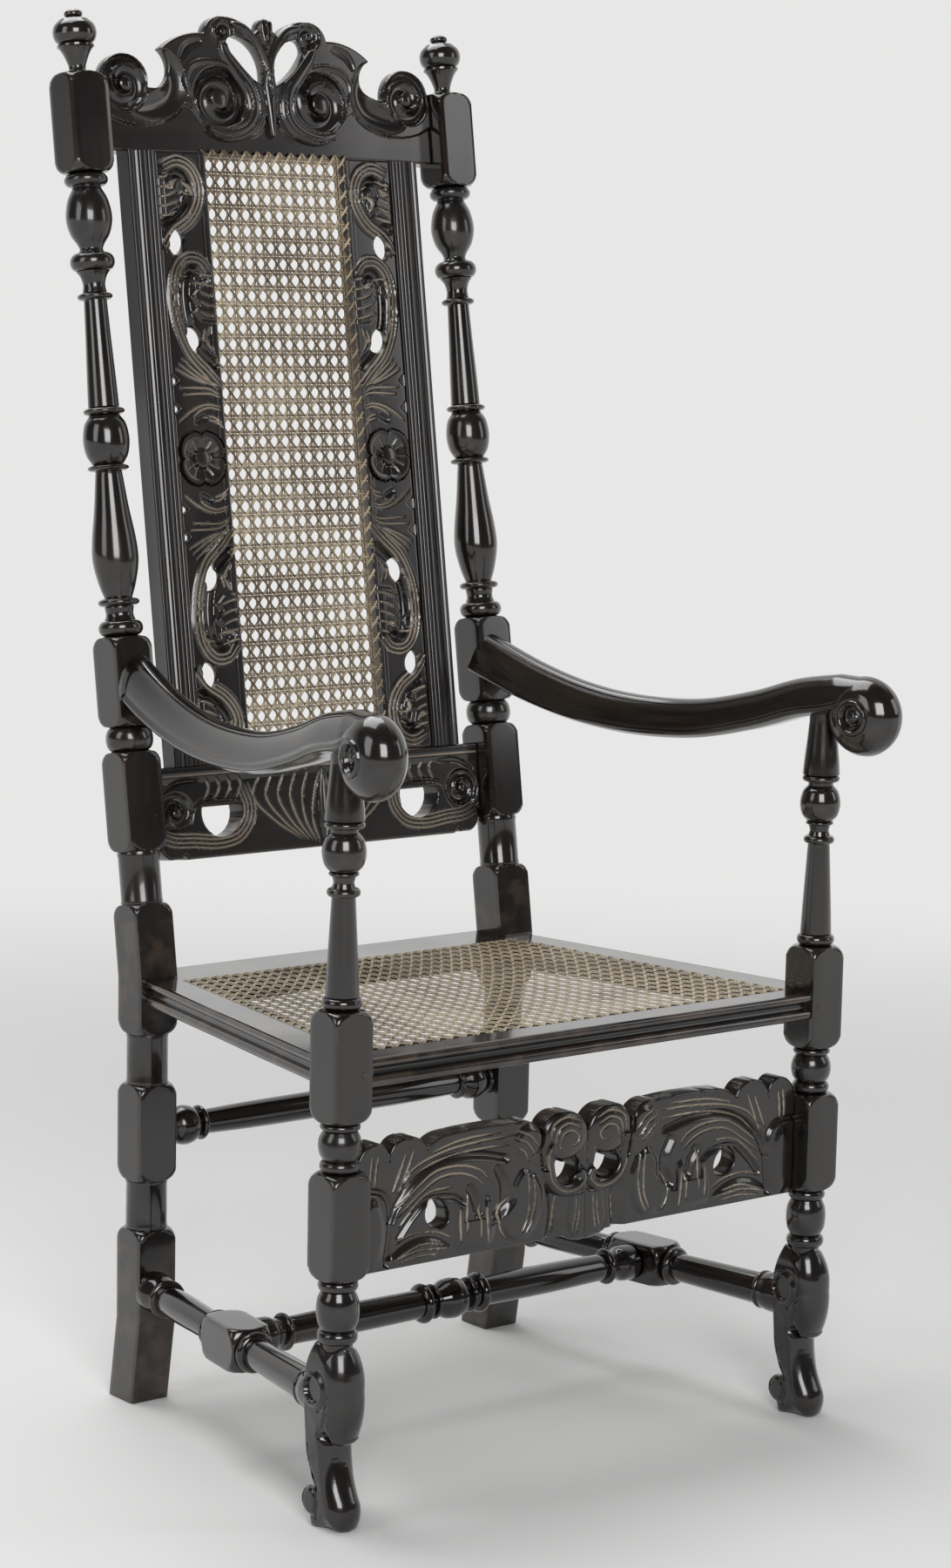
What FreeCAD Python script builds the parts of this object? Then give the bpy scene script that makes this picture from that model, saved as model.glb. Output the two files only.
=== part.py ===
import FreeCAD, Part
import functools
import math
import os
import re
import Sketcher

# A tall cane armchair: turned posts, carved and pierced rails, dipped arms, cane seat and back.
# Millimetres, +Z up, the front faces -Y, and the origin lies on the floor under the middle of the chair.
# The back leans in a frame of its own: x across, depth behind the post's line, rise up the slope from the seat.
# Pieces that come in pairs are made on the right (+X) and mirrored.

Vector = FreeCAD.Vector

SIZES = {
    # Where the posts stand
    "front_spacing": 578, "rear_spacing": 452, "seat_depth": 408, "front_axis": -240.25,
    "seat_height": 432, "rake": 8.7, "fit": 0.15,
    # Square blocks of the posts: how far their corners slope at an end, and the ledge left round the turning
    "front_post": 41, "rear_post": 43, "shoulder": 12, "block_ledge": 1,
    # Rear post below the seat
    "heel_kick": 13, "heel_height": 84, "foot_block_top": 178, "back_block": 97, "seat_block_drop": 56,
    "cylinder_radius": 20.5,
    # Rear post above the seat, each length on top of the one before
    "seat_block_rise": 72, "waist": 52, "low_block": 98, "arm_ball": 25, "arm_block": 88, "low_torus": 16,
    "low_neck": 14, "ring": 8, "vase": 124, "vase_belly": 37, "vase_throat": 77, "back_ball": 47, "shaft": 105,
    "high_neck": 20, "crown_torus": 18, "crown_neck": 9, "oval": 55, "collar": 14, "top_block": 97,
    "finial_neck": 9, "finial_cone": 18, "finial_ball": 26, "finial_knob": 9,
    "arm_ball_radius": 23.5, "torus_radius": 22, "torus_end_radius": 17, "ring_radius": 20.5,
    "neck_radius": 14, "vase_radius": 22.7, "vase_throat_radius": 19, "back_ball_radius": 22.7,
    "shaft_foot_radius": 14.5, "shaft_top_radius": 11.5, "shaft_ring_radius": 17.4, "crown_neck_radius": 9.5,
    "oval_radius": 22.7, "oval_end_radius": 13, "collar_radius": 21, "finial_neck_radius": 8.5,
    "finial_cone_radius": 17.5, "finial_ball_radius": 21.5, "finial_ball_end_radius": 15, "finial_knob_radius": 8,
    # Front post, from the scroll leg up to the arm: the seat block sets the rest, up and down
    "foot_ring": 12, "foot_ball": 36, "stretcher_ring": 11, "stretcher_block": 98, "mid_ring": 11,
    "mid_ball": 27, "under_ring": 8, "seat_block": 102, "seat_block_above": 45, "base_ring": 12, "arm_shaft": 89,
    "arm_ring": 9, "arm_neck": 13, "support_ball": 35, "arm_groove": 4, "cup_ring": 8, "arm_housing": 24,
    "front_ring_radius": 18.4, "front_ball_radius": 19.7, "front_core_radius": 14.5, "arm_shaft_foot_radius": 15,
    "arm_shaft_top_radius": 10.8, "arm_ring_radius": 15.1, "arm_neck_radius": 9.7, "support_end_radius": 12.6,
    "cup_foot_radius": 18.3, "cup_top_radius": 13, "leg_reach": 23, "toe_reach": 22, "leg_back": 22,
    "eye_radius": 13, "eye_rise": 1.5,
    # Arms, in the upright plane from the rear post to the front post
    "arm_width": 42, "arm_thick": 40, "arm_rear_lift": 10.4, "arm_dip_rise": 245, "arm_dip_reach": 182,
    "arm_front_rise": 294, "arm_front_drop": 12, "arm_front_run": 40, "arm_bearing": 4,
    "scroll_reach": 53, "scroll_drop": 19, "scroll_radius": 39, "scroll_width": 52,
    # Seat frame
    "rail_thick": 26, "side_rail_width": 48, "back_rail_width": 66, "rail_inset": 2, "edge_inset": 6,
    "edge_round": 5,
    # Cane of the seat and the back
    "cane_thick": 1.6, "cane_strand": 9, "cane_lap": 9, "seat_columns": 11, "seat_rows": 8,
    "cane_rebate": 2, "back_lap": 6, "back_columns": 4, "back_rows": 13,
    # Back panel: rises are measured up the slope
    "back_set": 4.5, "crest_lift": 24, "crest_end": 50, "crest_rise": 140, "low_rail_drop": 14, "low_rail": 93,
    "stile_gap": 26, "stile_width": 33, "stile_thick": 20, "reed_rise": 2.5, "upright_width": 60,
    "upright_thick": 18, "leaf_hole_width": 14, "leaf_hole_length": 22,
    # Raised carving
    "boss_rise": 3, "crest_volute": 24, "crest_end_volute": 22, "rosette": 16, "curl": 14,
    # Stretchers
    "front_stretcher_drop": 2, "front_stretcher_end": 86, "front_stretcher_rise": 122,
    "front_stretcher_thick": 20, "leaf_drop": 6, "loop_width": 15, "loop_length": 26, "side_hole_width": 18,
    "side_hole_length": 24, "side_stretcher_height": 116, "rear_stretcher_height": 276, "centre_block": 42,
    "centre_length": 70, "stretcher_radius": 15, "stretcher_waist": 12.5, "stretcher_ring_radius": 20,
    "stretcher_ring_length": 9, "end_cup_length": 24, "medial_ball_length": 40, "medial_ball_radius": 20,
    "medial_radius": 13,
    # Tenons and pegs
    "tenon": 18, "tenon_thick": 10, "tenon_root": 5, "seat_tenon_width": 14, "seat_tenon_set": 2,
    "side_tenon": 16, "side_tenon_width": 12, "arm_tenon_width": 14, "arm_tenon_height": 24,
    "stretcher_tenon_height": 50, "panel_tenon": 12, "round_tenon": 9, "peg_radius": 3, "peg_length": 30,
    "peg_proud": 0.6,
}

doc = FreeCAD.newDocument("cane_armchair")
sheet = doc.addObject("Spreadsheet::Sheet", "sizes")
for row, (alias, size) in enumerate(SIZES.items(), start=1):
    sheet.set(f"A{row}", alias)
    sheet.set(f"B{row}", str(size))
    sheet.setAlias(f"B{row}", alias)
doc.recompute()
nodes = []


# Formulas are written in size names, so that every size in the document follows the sheet.


@functools.cache
def formula(text):
    """The formula as the document reads it: each size name becomes a cell of the sheet."""
    return re.sub(r"[a-z][a-z_]*", lambda word: f"sizes.{word[0]}" if word[0] in SIZES else word[0], text)


@functools.cache
def value(text):
    number = sheet.evalExpression(formula(text))
    return number.Value if hasattr(number, "Value") else float(number)


def bind(item, **sizes):
    for name, text in sizes.items():
        item.setExpression(name, formula(text))


def minus(text):
    return text if text == "0" else f"-({text})"


def mix(low, high, share):
    return f"(({low}) * {1 - share:g} + ({high}) * {share:g})"


def stack(foot, *lengths):
    """The heights where stacked lengths meet, from the foot up."""
    heights = [foot]
    for length in lengths:
        heights.append(f"{heights[-1]} + {length}")
    return heights


REAR_AXIS = "(front_axis + seat_depth)"
SPREAD = "((front_spacing - rear_spacing) / 2)"
PLAN_ANGLE = f"atan({SPREAD} / seat_depth)"
PLAN_LENGTH = f"sqrt({SPREAD}^2 + seat_depth^2)"
INNER_REAR = "(rear_spacing / 2 - rear_post / 2)"
INNER_FRONT = "(front_spacing / 2 - front_post / 2)"
POST_BACK = "(front_axis + front_post / 2)"
REAR_FACE = f"({REAR_AXIS} - rear_post / 2)"
REAR_BACK = f"({REAR_AXIS} + rear_post / 2)"

# The stations of the rear post above the seat and of the front post.
UP = stack(
    "0", "seat_block_rise", "waist", "low_block", "arm_ball", "arm_block", "low_torus", "low_neck", "ring",
    "vase", "ring", "back_ball", "ring", "shaft", "ring", "high_neck", "crown_torus", "crown_neck", "oval",
    "collar", "top_block", "finial_neck", "finial_cone", "finial_ball", "finial_knob",
)
LOW_BLOCK, ARM_BLOCK, TOP_BLOCK = (UP[2], UP[3]), (UP[4], UP[5]), (UP[19], UP[20])
ABOVE_LEG = (
    "foot_ring", "foot_ball", "stretcher_ring", "stretcher_block", "mid_ring", "mid_ball", "under_ring",
    "seat_block",
)
LEG = f"(seat_height + seat_block_above - {' - '.join(ABOVE_LEG)})"
FRONT = stack(
    LEG, *ABOVE_LEG, "base_ring", "arm_shaft", "arm_ring", "arm_neck", "support_ball", "arm_groove", "cup_ring",
)

# The arm's middle line at its two ends, and the top of the front post inside it.
ARM_REAR = f"(seat_height + cos(rake) * {mix(*ARM_BLOCK, 0.5)} + arm_rear_lift)"
ARM_FRONT = "(seat_height + arm_front_rise)"
POST_TOP = f"({ARM_FRONT} - arm_bearing)"
CUP_TOP = f"({POST_TOP} - arm_housing)"

# The back panel: rises where the rails meet it, and its edges across.
CREST_FOOT = f"({TOP_BLOCK[0]} + crest_lift)"
LOW_RAIL_FOOT = f"({LOW_BLOCK[0]} - low_rail_drop)"
LOW_RAIL_TOP = f"({LOW_RAIL_FOOT} + low_rail)"
PANEL_RISE = f"({CREST_FOOT} - {LOW_RAIL_TOP})"
STILE_EDGE = f"({INNER_REAR} - stile_gap - stile_width)"
PANEL_EDGE = f"({STILE_EDGE} - upright_width)"
BACK_THICK = "(rear_post / 2 + back_set)"

# The seat frame: its side rails run askew from the front posts to the rear posts.
RAIL_FOOT = "(seat_height - rail_thick)"
RAIL_MIDDLE = "(seat_height - rail_thick / 2)"
SIDE_FRONT = "(front_spacing / 2 + front_post / 2 - edge_inset)"
SIDE_REAR = "(rear_spacing / 2 + rear_post / 2 - edge_inset)"
SIDE_RUN = f"({REAR_FACE} - {POST_BACK})"
SIDE_SLOPE = f"(({SIDE_FRONT} - {SIDE_REAR}) / {SIDE_RUN})"
BACK_RAIL_FRONT = f"({REAR_BACK} - back_rail_width)"

# The stretchers: the front one's foot, the middle of a side one, and the end of the tenon that enters it there.
FRONT_STRETCHER_FOOT = f"({FRONT[3]} - front_stretcher_drop)"
MIDDLE_X = "((front_spacing + rear_spacing) / 4)"
MIDDLE_Y = "(front_axis + seat_depth / 2)"
MEDIAL_END = f"({MIDDLE_X} - centre_block / 2 + tenon)"


def side_edge(y):
    """How far across the inner edge of a side rail lies, at a given y."""
    return f"({SIDE_REAR} - side_rail_width + ({REAR_FACE} - ({y})) * {SIDE_SLOPE})"


# Placing, sketching and joining.


def place(item, x="0", y="0", z="0", turn=None, axis=Vector(0, 0, 1)):
    """Bind the item's place, and its turn about one axis, to the sizes."""
    if turn:
        item.Placement = FreeCAD.Placement(Vector(), FreeCAD.Rotation(axis, value(turn)))
        item.setExpression("Placement.Rotation.Angle", formula(turn))
    for name, text in zip("xyz", (x, y, z)):
        item.setExpression(f"Placement.Base.{name}", formula(text))
    return item


def lean(item, x="0", depth="0", rise="0"):
    """Place the item in the frame of the sloping back."""
    y = f"{REAR_AXIS} + ({depth}) * cos(rake) + ({rise}) * sin(rake)"
    z = f"seat_height - ({depth}) * sin(rake) + ({rise}) * cos(rake)"
    return place(item, x, y, z, "rake", Vector(-1, 0, 0))


def splay(item, z="0"):
    """Place the item in the upright plane of the right-hand posts: its own x runs forward from the rear post."""
    return place(item, "rear_spacing / 2", REAR_AXIS, z, f"-90 deg + {PLAN_ANGLE}")


def add(kind, label):
    item = doc.addObject(kind, label)
    item.Label = label
    return item


def node(item, label):
    """Mark the item as a finished piece of the chair."""
    item.Label = label
    nodes.append(item)
    return item


def reflect(item):
    copy = add("Part::Mirroring", "reflection")
    copy.Source = item
    copy.Normal = Vector(1, 0, 0)
    return copy


def pair(item, name):
    """A right-hand piece and its left-hand twin."""
    node(item, f"{name}_right")
    node(reflect(item), f"{name}_left")


def sketch_on(body, role, lift=None, shift=None):
    plane = next(item for item in body.Origin.OriginFeatures if item.Role == role)
    sketch = body.newObject("Sketcher::SketchObject", "sketch")
    sketch.AttachmentSupport = (plane, [""])
    sketch.MapMode = "FlatFace"
    if lift:
        sketch.setExpression("AttachmentOffset.Base.z", formula(lift))
    if shift:
        sketch.setExpression("AttachmentOffset.Base.x", formula(shift))
    return sketch


def hold(sketch, rules):
    """Add rules to a sketch at one go. A rule is a constraint and, where it has one, the formula of its size."""
    numbers = sketch.addConstraint([rule for rule, _ in rules])
    for number, (_, text) in zip(numbers, rules):
        if text:
            sketch.setExpression(f"Constraints[{number}]", formula(text))


def pin(geometry, vertex, x, y):
    """The rules that hold a point at its formulas, on the axis itself where a formula is nought."""
    rules = []
    for kind, text, along in (("DistanceX", x, -2), ("DistanceY", y, -1)):
        if text == "0":
            rules.append((Sketcher.Constraint("PointOnObject", geometry, vertex, along), None))
        else:
            rules.append((Sketcher.Constraint(kind, -1, 1, geometry, vertex, value(text)), text))
    return rules


def spot(corner):
    return Vector(value(corner[0]), value(corner[1]), 0)


def merged(corners):
    """Drop a corner that falls on the one before it, and keep the arc that either of them starts."""
    kept = []
    for corner in corners:
        if not kept or not spot(kept[-1]).isEqual(spot(corner), 1e-6):
            kept.append(corner)
        elif len(corner) > len(kept[-1]):
            kept[-1] = corner
    if spot(kept[-1]).isEqual(spot(kept[0]), 1e-6):
        kept.pop()
    return kept


def trace(sketch, corners, closed=True):
    """Draw sides from corner to corner: a corner is (x, y), or (x, y, mid x, mid y) where an arc starts."""
    corners = merged(corners)
    sides = []
    rules = []
    for start, end in zip(corners, corners[1:] + (corners[:1] if closed else [])):
        if len(start) == 2:
            side = sketch.addGeometry(Part.LineSegment(spot(start), spot(end)))
            first, last = 1, 2
        else:
            middle = spot(start[2:])
            left_turn = (middle - spot(start)).cross(spot(end) - middle).z > 0
            ends = (start, end) if left_turn else (end, start)
            first, last = (1, 2) if left_turn else (2, 1)
            side = sketch.addGeometry(Part.Arc(spot(ends[0]), middle, spot(ends[1])))
            point = sketch.addGeometry(Part.Point(middle), True)
            rules.append((Sketcher.Constraint("PointOnObject", point, 1, side), None))
            rules += pin(point, 1, *start[2:])
        rules += pin(side, first, *start[:2])
        sides.append((side, first, last))
    for (side, _, last), (after, first, _) in zip(sides, sides[1:] + (sides[:1] if closed else [])):
        rules.append((Sketcher.Constraint("Coincident", side, last, after, first), None))
    if not closed:
        rules += pin(sides[-1][0], sides[-1][2], *corners[-1][:2])
    hold(sketch, rules)
    return sketch


def circle(sketch, x, y, radius):
    ring = sketch.addGeometry(Part.Circle(Vector(value(x), value(y), 0), Vector(0, 0, 1), value(radius)))
    hold(sketch, pin(ring, 3, x, y) + [(Sketcher.Constraint("Radius", ring, value(radius)), radius)])


def feature(body, kind, sketch, **sizes):
    item = body.newObject(f"PartDesign::{kind}", kind.lower())
    item.Profile = sketch
    bind(item, **sizes)
    return item


def pad(body, sketch, length, reverse=False):
    item = feature(body, "Pad", sketch, Length=length)
    item.Reversed = reverse
    return item


def revolve(body, sketch, axis):
    item = feature(body, "Revolution", sketch)
    item.ReferenceAxis = (sketch, [axis])
    item.Angle = 360
    return item


def solid_box(label, x, y, z, length, width, height, grow="0", back=False):
    """A box from its lowest corner, grown all round by a clearance where it cuts a mortise."""
    item = add("Part::Box", label)
    bind(item, Length=f"{length} + 2 * {grow}", Width=f"{width} + 2 * {grow}", Height=f"{height} + 2 * {grow}")
    corner = [f"{text} - {grow}" for text in (x, y, z)]
    return lean(item, *corner) if back else place(item, *corner)


def rod(label, start, end, radius):
    """A round bar along the body's own x."""
    body = add("PartDesign::Body", label)
    sketch = sketch_on(body, "YZ_Plane", start)
    circle(sketch, "0", "0", radius)
    pad(body, sketch, f"{end} - ({start})")
    return body


def join(*pieces):
    item = add("Part::MultiFuse", "joined")
    item.Shapes = list(pieces)
    item.Refine = True
    return item


def cut(base, *tools):
    item = add("Part::Cut", "cut")
    item.Base = base
    item.Tool = tools[0] if len(tools) == 1 else join(*tools)
    item.Refine = True
    return item


# Outlines. A half outline ends on the middle line, and its mirror image closes it.


def outline(points, wide, tall):
    """Corners from shares of a width and a height, each with the middle of its arc where it starts one."""
    def corner(point):
        for count, share in enumerate(point):
            yield f"{share} * {(wide, tall)[count % 2]}" if share else "0"
    return [tuple(corner(point)) for point in points]


def flip(corners):
    return [tuple(text if count % 2 else minus(text) for count, text in enumerate(corner)) for corner in corners]


def mirrored(half):
    other = flip(half)
    back = [after[:2] + before[2:] for after, before in zip(other[:0:-1], other[-2::-1])]
    return half[:-1] + back + [other[0][:2]]


def square(half):
    return [(half, half), (minus(half), half), (minus(half), minus(half)), (half, minus(half))]


def diamond(half):
    """A square on its corner, whose sides lie half off the middle."""
    corner = f"sqrt(2) * ({half})"
    return [(corner, "0"), ("0", corner), (minus(corner), "0"), ("0", minus(corner))]


def upright(points, tall):
    """Corners whose x is a formula and whose y is a share of a height."""
    def corner(point):
        for count, part in enumerate(point):
            share = f"{part} * {tall}" if part else "0"
            yield share if count % 2 else part
    return [tuple(corner(point)) for point in points]


def lens(x, y, wide, tall):
    """A leaf-shaped hole about its middle, drawn with two arcs."""
    return [(x, f"{y} - {tall} / 2", f"{x} + {wide} / 2", y), (x, f"{y} + {tall} / 2", f"{x} - {wide} / 2", y)]


# Turned shapes. Each returns corners of a profile, radius first, from its foot to its top.

BEAD_SLOPE = 0.28


def ball(foot, top, radius, end):
    return [(end, foot, radius, mix(foot, top, 0.5)), (end, top)]


def bead(foot, top, radius, end):
    """A small round in three straight cuts."""
    return [(end, foot), (radius, mix(foot, top, BEAD_SLOPE)), (radius, mix(top, foot, BEAD_SLOPE)), (end, top)]


def ring(foot, top, radius, core):
    """A thin raised ring that comes to an edge."""
    return [(core, foot), (radius, mix(foot, top, 0.5)), (core, top)]


def block(foot, top, width, neck, slopes=(True, True), lying=False):
    """A square length of a turning: its corners slope off to the neck at an end, at its foot and at its top."""
    body = add("PartDesign::Body", "square_block")
    plane = "YZ_Plane" if lying else "XY_Plane"
    end = f"{neck} + block_ledge"
    sections = [(foot, end), (f"{foot} + shoulder", width)] if slopes[0] else [(foot, width)]
    sections += [(f"{top} - shoulder", width), (top, end)] if slopes[1] else [(top, width)]
    sketches = [sketch_on(body, plane, height) for height, _ in sections]
    for sketch, (_, half) in zip(sketches, sections):
        trace(sketch, diamond(half))
    loft = feature(body, "AdditiveLoft", sketches[0])
    loft.Sections = sketches[1:]
    loft.Ruled = True
    flats = sketch_on(body, plane, foot)
    trace(flats, square(f"{width} / 2"))
    trace(flats, square(f"2 * {width}"))
    waste = feature(body, "Pocket", flats, Length=f"{top} - ({foot})")
    waste.Reversed = True
    return body


def turned(label, corners, lying=False):
    """A turned body that stands on its own z, or lies along its own x."""
    body = add("PartDesign::Body", label)
    if lying:
        swap = (1, 0, 3, 2)
        corners = [tuple(corner[n] for n in swap[:len(corner)]) for corner in corners]
    revolve(body, trace(sketch_on(body, "XZ_Plane"), corners), "H_Axis" if lying else "V_Axis")
    return body


# Joints. Each tenon is a box, x, y, z, length, width, height, on the right; a mortise is the same box grown.
# The boxes start a little way inside the piece that carries the tenon.

RAIL_TENON = "(tenon + tenon_root)"
RAIL_DEPTH = "((rear_post / 2 - back_set - tenon_thick) / 2)"
SEAT_TENON_FOOT = f"({RAIL_MIDDLE} - tenon_thick / 2)"
TENONS = {
    "crest": (
        f"{INNER_REAR} - tenon_root", RAIL_DEPTH, f"{CREST_FOOT} + 0.2 * crest_end",
        RAIL_TENON, "tenon_thick", "0.6 * crest_end",
    ),
    "low_rail": (
        f"{INNER_REAR} - tenon_root", RAIL_DEPTH, f"{LOW_RAIL_FOOT} + 0.28 * low_rail",
        RAIL_TENON, "tenon_thick", "0.5 * low_rail",
    ),
    "arm": (
        "(rear_spacing - arm_tenon_width) / 2", "-rear_post / 2 - tenon_root",
        f"{mix(*ARM_BLOCK, 0.5)} - arm_tenon_height / 2", "arm_tenon_width", RAIL_TENON, "arm_tenon_height",
    ),
    "stile": (
        f"{STILE_EDGE} + stile_width / 4", "-back_set + stile_thick / 4", f"{LOW_RAIL_TOP} - panel_tenon",
        "stile_width / 2", "stile_thick / 2", f"{PANEL_RISE} + 2 * panel_tenon",
    ),
    "upright": (
        f"{PANEL_EDGE} + upright_width / 4", "-back_set + upright_thick / 3", f"{LOW_RAIL_TOP} - panel_tenon",
        "upright_width / 2", "upright_thick / 3", f"{PANEL_RISE} + 2 * panel_tenon",
    ),
    "seat_front": (
        f"{INNER_FRONT} - tenon_root", "front_axis - seat_tenon_width", SEAT_TENON_FOOT,
        RAIL_TENON, "seat_tenon_width", "tenon_thick",
    ),
    "seat_back": (
        f"{INNER_REAR} - tenon_root", f"{REAR_AXIS} - seat_tenon_set", SEAT_TENON_FOOT,
        RAIL_TENON, "seat_tenon_width", "tenon_thick",
    ),
    "side_front": (
        "(front_spacing - side_tenon_width) / 2", f"{POST_BACK} - side_tenon", SEAT_TENON_FOOT,
        "side_tenon_width", "(side_tenon + tenon_root)", "tenon_thick",
    ),
    "side_rear": (
        "(rear_spacing - side_tenon_width) / 2", f"{REAR_FACE} - tenon_root", SEAT_TENON_FOOT,
        "side_tenon_width", "(side_tenon + tenon_root)", "tenon_thick",
    ),
    "front_stretcher": (
        f"{INNER_FRONT} - tenon_root", "front_axis + (front_stretcher_thick - tenon_thick) / 2",
        f"{FRONT_STRETCHER_FOOT} + (front_stretcher_end - stretcher_tenon_height) / 2",
        RAIL_TENON, "tenon_thick", "stretcher_tenon_height",
    ),
}
LEANING = ("crest", "low_rail", "arm", "stile", "upright")


def tenon(name, side=1, grow="0"):
    x, y, z, length, width, height = TENONS[name]
    if side < 0:
        x = f"-({x} + {length})"
    return solid_box(f"{name}_tenon", x, y, z, length, width, height, grow, name in LEANING)


def mortise(name, side=1):
    return tenon(name, side, "fit")


def both(maker, *names):
    """The right-hand and the left-hand box of each named joint."""
    return [maker(name, side) for name in names for side in (1, -1)]


def side_dowel(grow="0"):
    """The round tenons of a side stretcher, as one bar through it from post to post."""
    end = f"{PLAN_LENGTH} - leg_back + tenon + {grow}"
    return splay(rod("side_dowel", f"rear_post / 2 - tenon - {grow}", end, f"round_tenon + {grow}"),
                 "side_stretcher_height")


def medial_dowel(grow="0"):
    end = f"{MEDIAL_END} + {grow}"
    return place(rod("medial_dowel", minus(end), end, f"round_tenon + {grow}"),
                 "0", MIDDLE_Y, "side_stretcher_height")


def rear_dowel(grow="0"):
    end = f"{INNER_REAR} + tenon + {grow}"
    return place(rod("rear_dowel", minus(end), end, f"round_tenon + {grow}"),
                 "0", REAR_AXIS, "rear_stretcher_height")


# Each peg, cut with eight sides and driven in from the front: x, height and the face of its post.
PEG_SIDES = 8
PEGS = {
    "seat_front": (f"{INNER_FRONT} + tenon / 2", RAIL_MIDDLE, "front_axis - front_post / 2"),
    "low_rail": (f"{INNER_REAR} + tenon / 2", f"{LOW_RAIL_FOOT} + low_rail / 2", "-rear_post / 2"),
}


def peg(name, grow="0"):
    x, height, face = PEGS[name]
    body = add("PartDesign::Body", f"{name}_peg")
    sketch = sketch_on(body, "XZ_Plane", f"peg_proud - ({face})")
    turns = [2 * math.pi * side / PEG_SIDES for side in range(PEG_SIDES)]
    reach = f"(peg_radius + {grow})"
    trace(sketch, [
        (f"{x} + {math.cos(turn):.4f} * {reach}", f"{height} + {math.sin(turn):.4f} * {reach}")
        for turn in turns
    ])
    pad(body, sketch, f"peg_length + peg_proud + {grow}", reverse=True)
    return lean(body) if name in LEANING else body


def peg_hole(name):
    return peg(name, "fit")


def peg_holes(name):
    hole = peg_hole(name)
    return [hole, reflect(hole)]


# Posts


def rear_post():
    """A rear post in one piece: an upright leg below the seat and a leaning back post above it."""
    back_foot = "(rear_stretcher_height - back_block / 2)"
    knee = "rear_post / 2 * tan(rake / 2)"
    core = "cylinder_radius"
    corners = [("0", "heel_height"), (core, "heel_height"), (core, "seat_height"), ("0", "seat_height")]
    leg = [
        turned("rear_leg", corners),
        block("heel_height", "foot_block_top", "rear_post", core, (False, True)),
        block(back_foot, f"{back_foot} + back_block", "rear_post", core),
        block("(seat_height - seat_block_drop)", f"(seat_height + {knee})", "rear_post", core, (True, False)),
    ]
    foot = add("PartDesign::Body", "rear_foot")
    heel = sketch_on(foot, "XY_Plane")
    trace(heel, [(x, f"{y} + heel_kick") for x, y in square("rear_post / 2")])
    ankle = sketch_on(foot, "XY_Plane", "heel_height")
    trace(ankle, square("rear_post / 2"))
    loft = feature(foot, "AdditiveLoft", heel)
    loft.Sections = [ankle]
    loft.Ruled = True
    for piece in leg + [foot]:
        place(piece, "rear_spacing / 2", REAR_AXIS)

    corners = [("0", "0"), (core, "0")]
    corners += bead(UP[3], UP[4], "arm_ball_radius", core)
    corners += [(core, UP[5])]
    corners += bead(UP[5], UP[6], "torus_radius", "torus_end_radius")
    corners += [("neck_radius", UP[7])]
    corners += ring(UP[7], UP[8], "ring_radius", "neck_radius")
    belly = f"{UP[8]} + vase_belly"
    throat = f"{UP[8]} + vase_throat"
    corners += [
        ("neck_radius", UP[8], mix("neck_radius", "vase_radius", 0.78), mix(UP[8], belly, 0.4)),
        ("vase_radius", belly, mix("vase_radius", "vase_throat_radius", 0.35), mix(belly, throat, 0.55)),
        ("vase_throat_radius", throat),
    ]
    corners += ring(UP[9], UP[10], "ring_radius", "neck_radius")
    corners += ball(UP[10], UP[11], "back_ball_radius", "neck_radius")
    corners += ring(UP[11], UP[12], "ring_radius", "shaft_foot_radius")
    corners += ring(UP[13], UP[14], "shaft_ring_radius", "shaft_top_radius")
    corners += [("shaft_top_radius", UP[15])]
    corners += bead(UP[15], UP[16], "torus_radius", "torus_end_radius")
    corners += [("crown_neck_radius", UP[16]), ("crown_neck_radius", UP[17])]
    corners += ball(UP[17], UP[18], "oval_radius", "oval_end_radius")
    corners += ring(UP[18], UP[19], "collar_radius", "oval_end_radius")
    corners += [("oval_end_radius", UP[20])]
    corners += [("finial_neck_radius", UP[20]), ("finial_neck_radius", UP[21]), ("finial_cone_radius", UP[22])]
    corners += ball(UP[22], UP[23], "finial_ball_radius", "finial_ball_end_radius")
    corners += [("finial_knob_radius", UP[23]), ("finial_knob_radius", UP[24]), ("0", UP[24])]
    upper = [
        turned("rear_upper", corners),
        block(minus(knee), UP[1], "rear_post", core, (False, True)),
        block(*LOW_BLOCK, "rear_post", core),
        block(*ARM_BLOCK, "rear_post", core),
        block(*TOP_BLOCK, "rear_post", core),
    ]
    for piece in upper:
        lean(piece, "rear_spacing / 2")

    mortises = [mortise(name) for name in ("crest", "low_rail", "arm", "seat_back", "side_rear")]
    return cut(join(*leg, foot, *upper), *mortises, peg_hole("low_rail"), side_dowel("fit"), rear_dowel("fit"))


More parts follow.
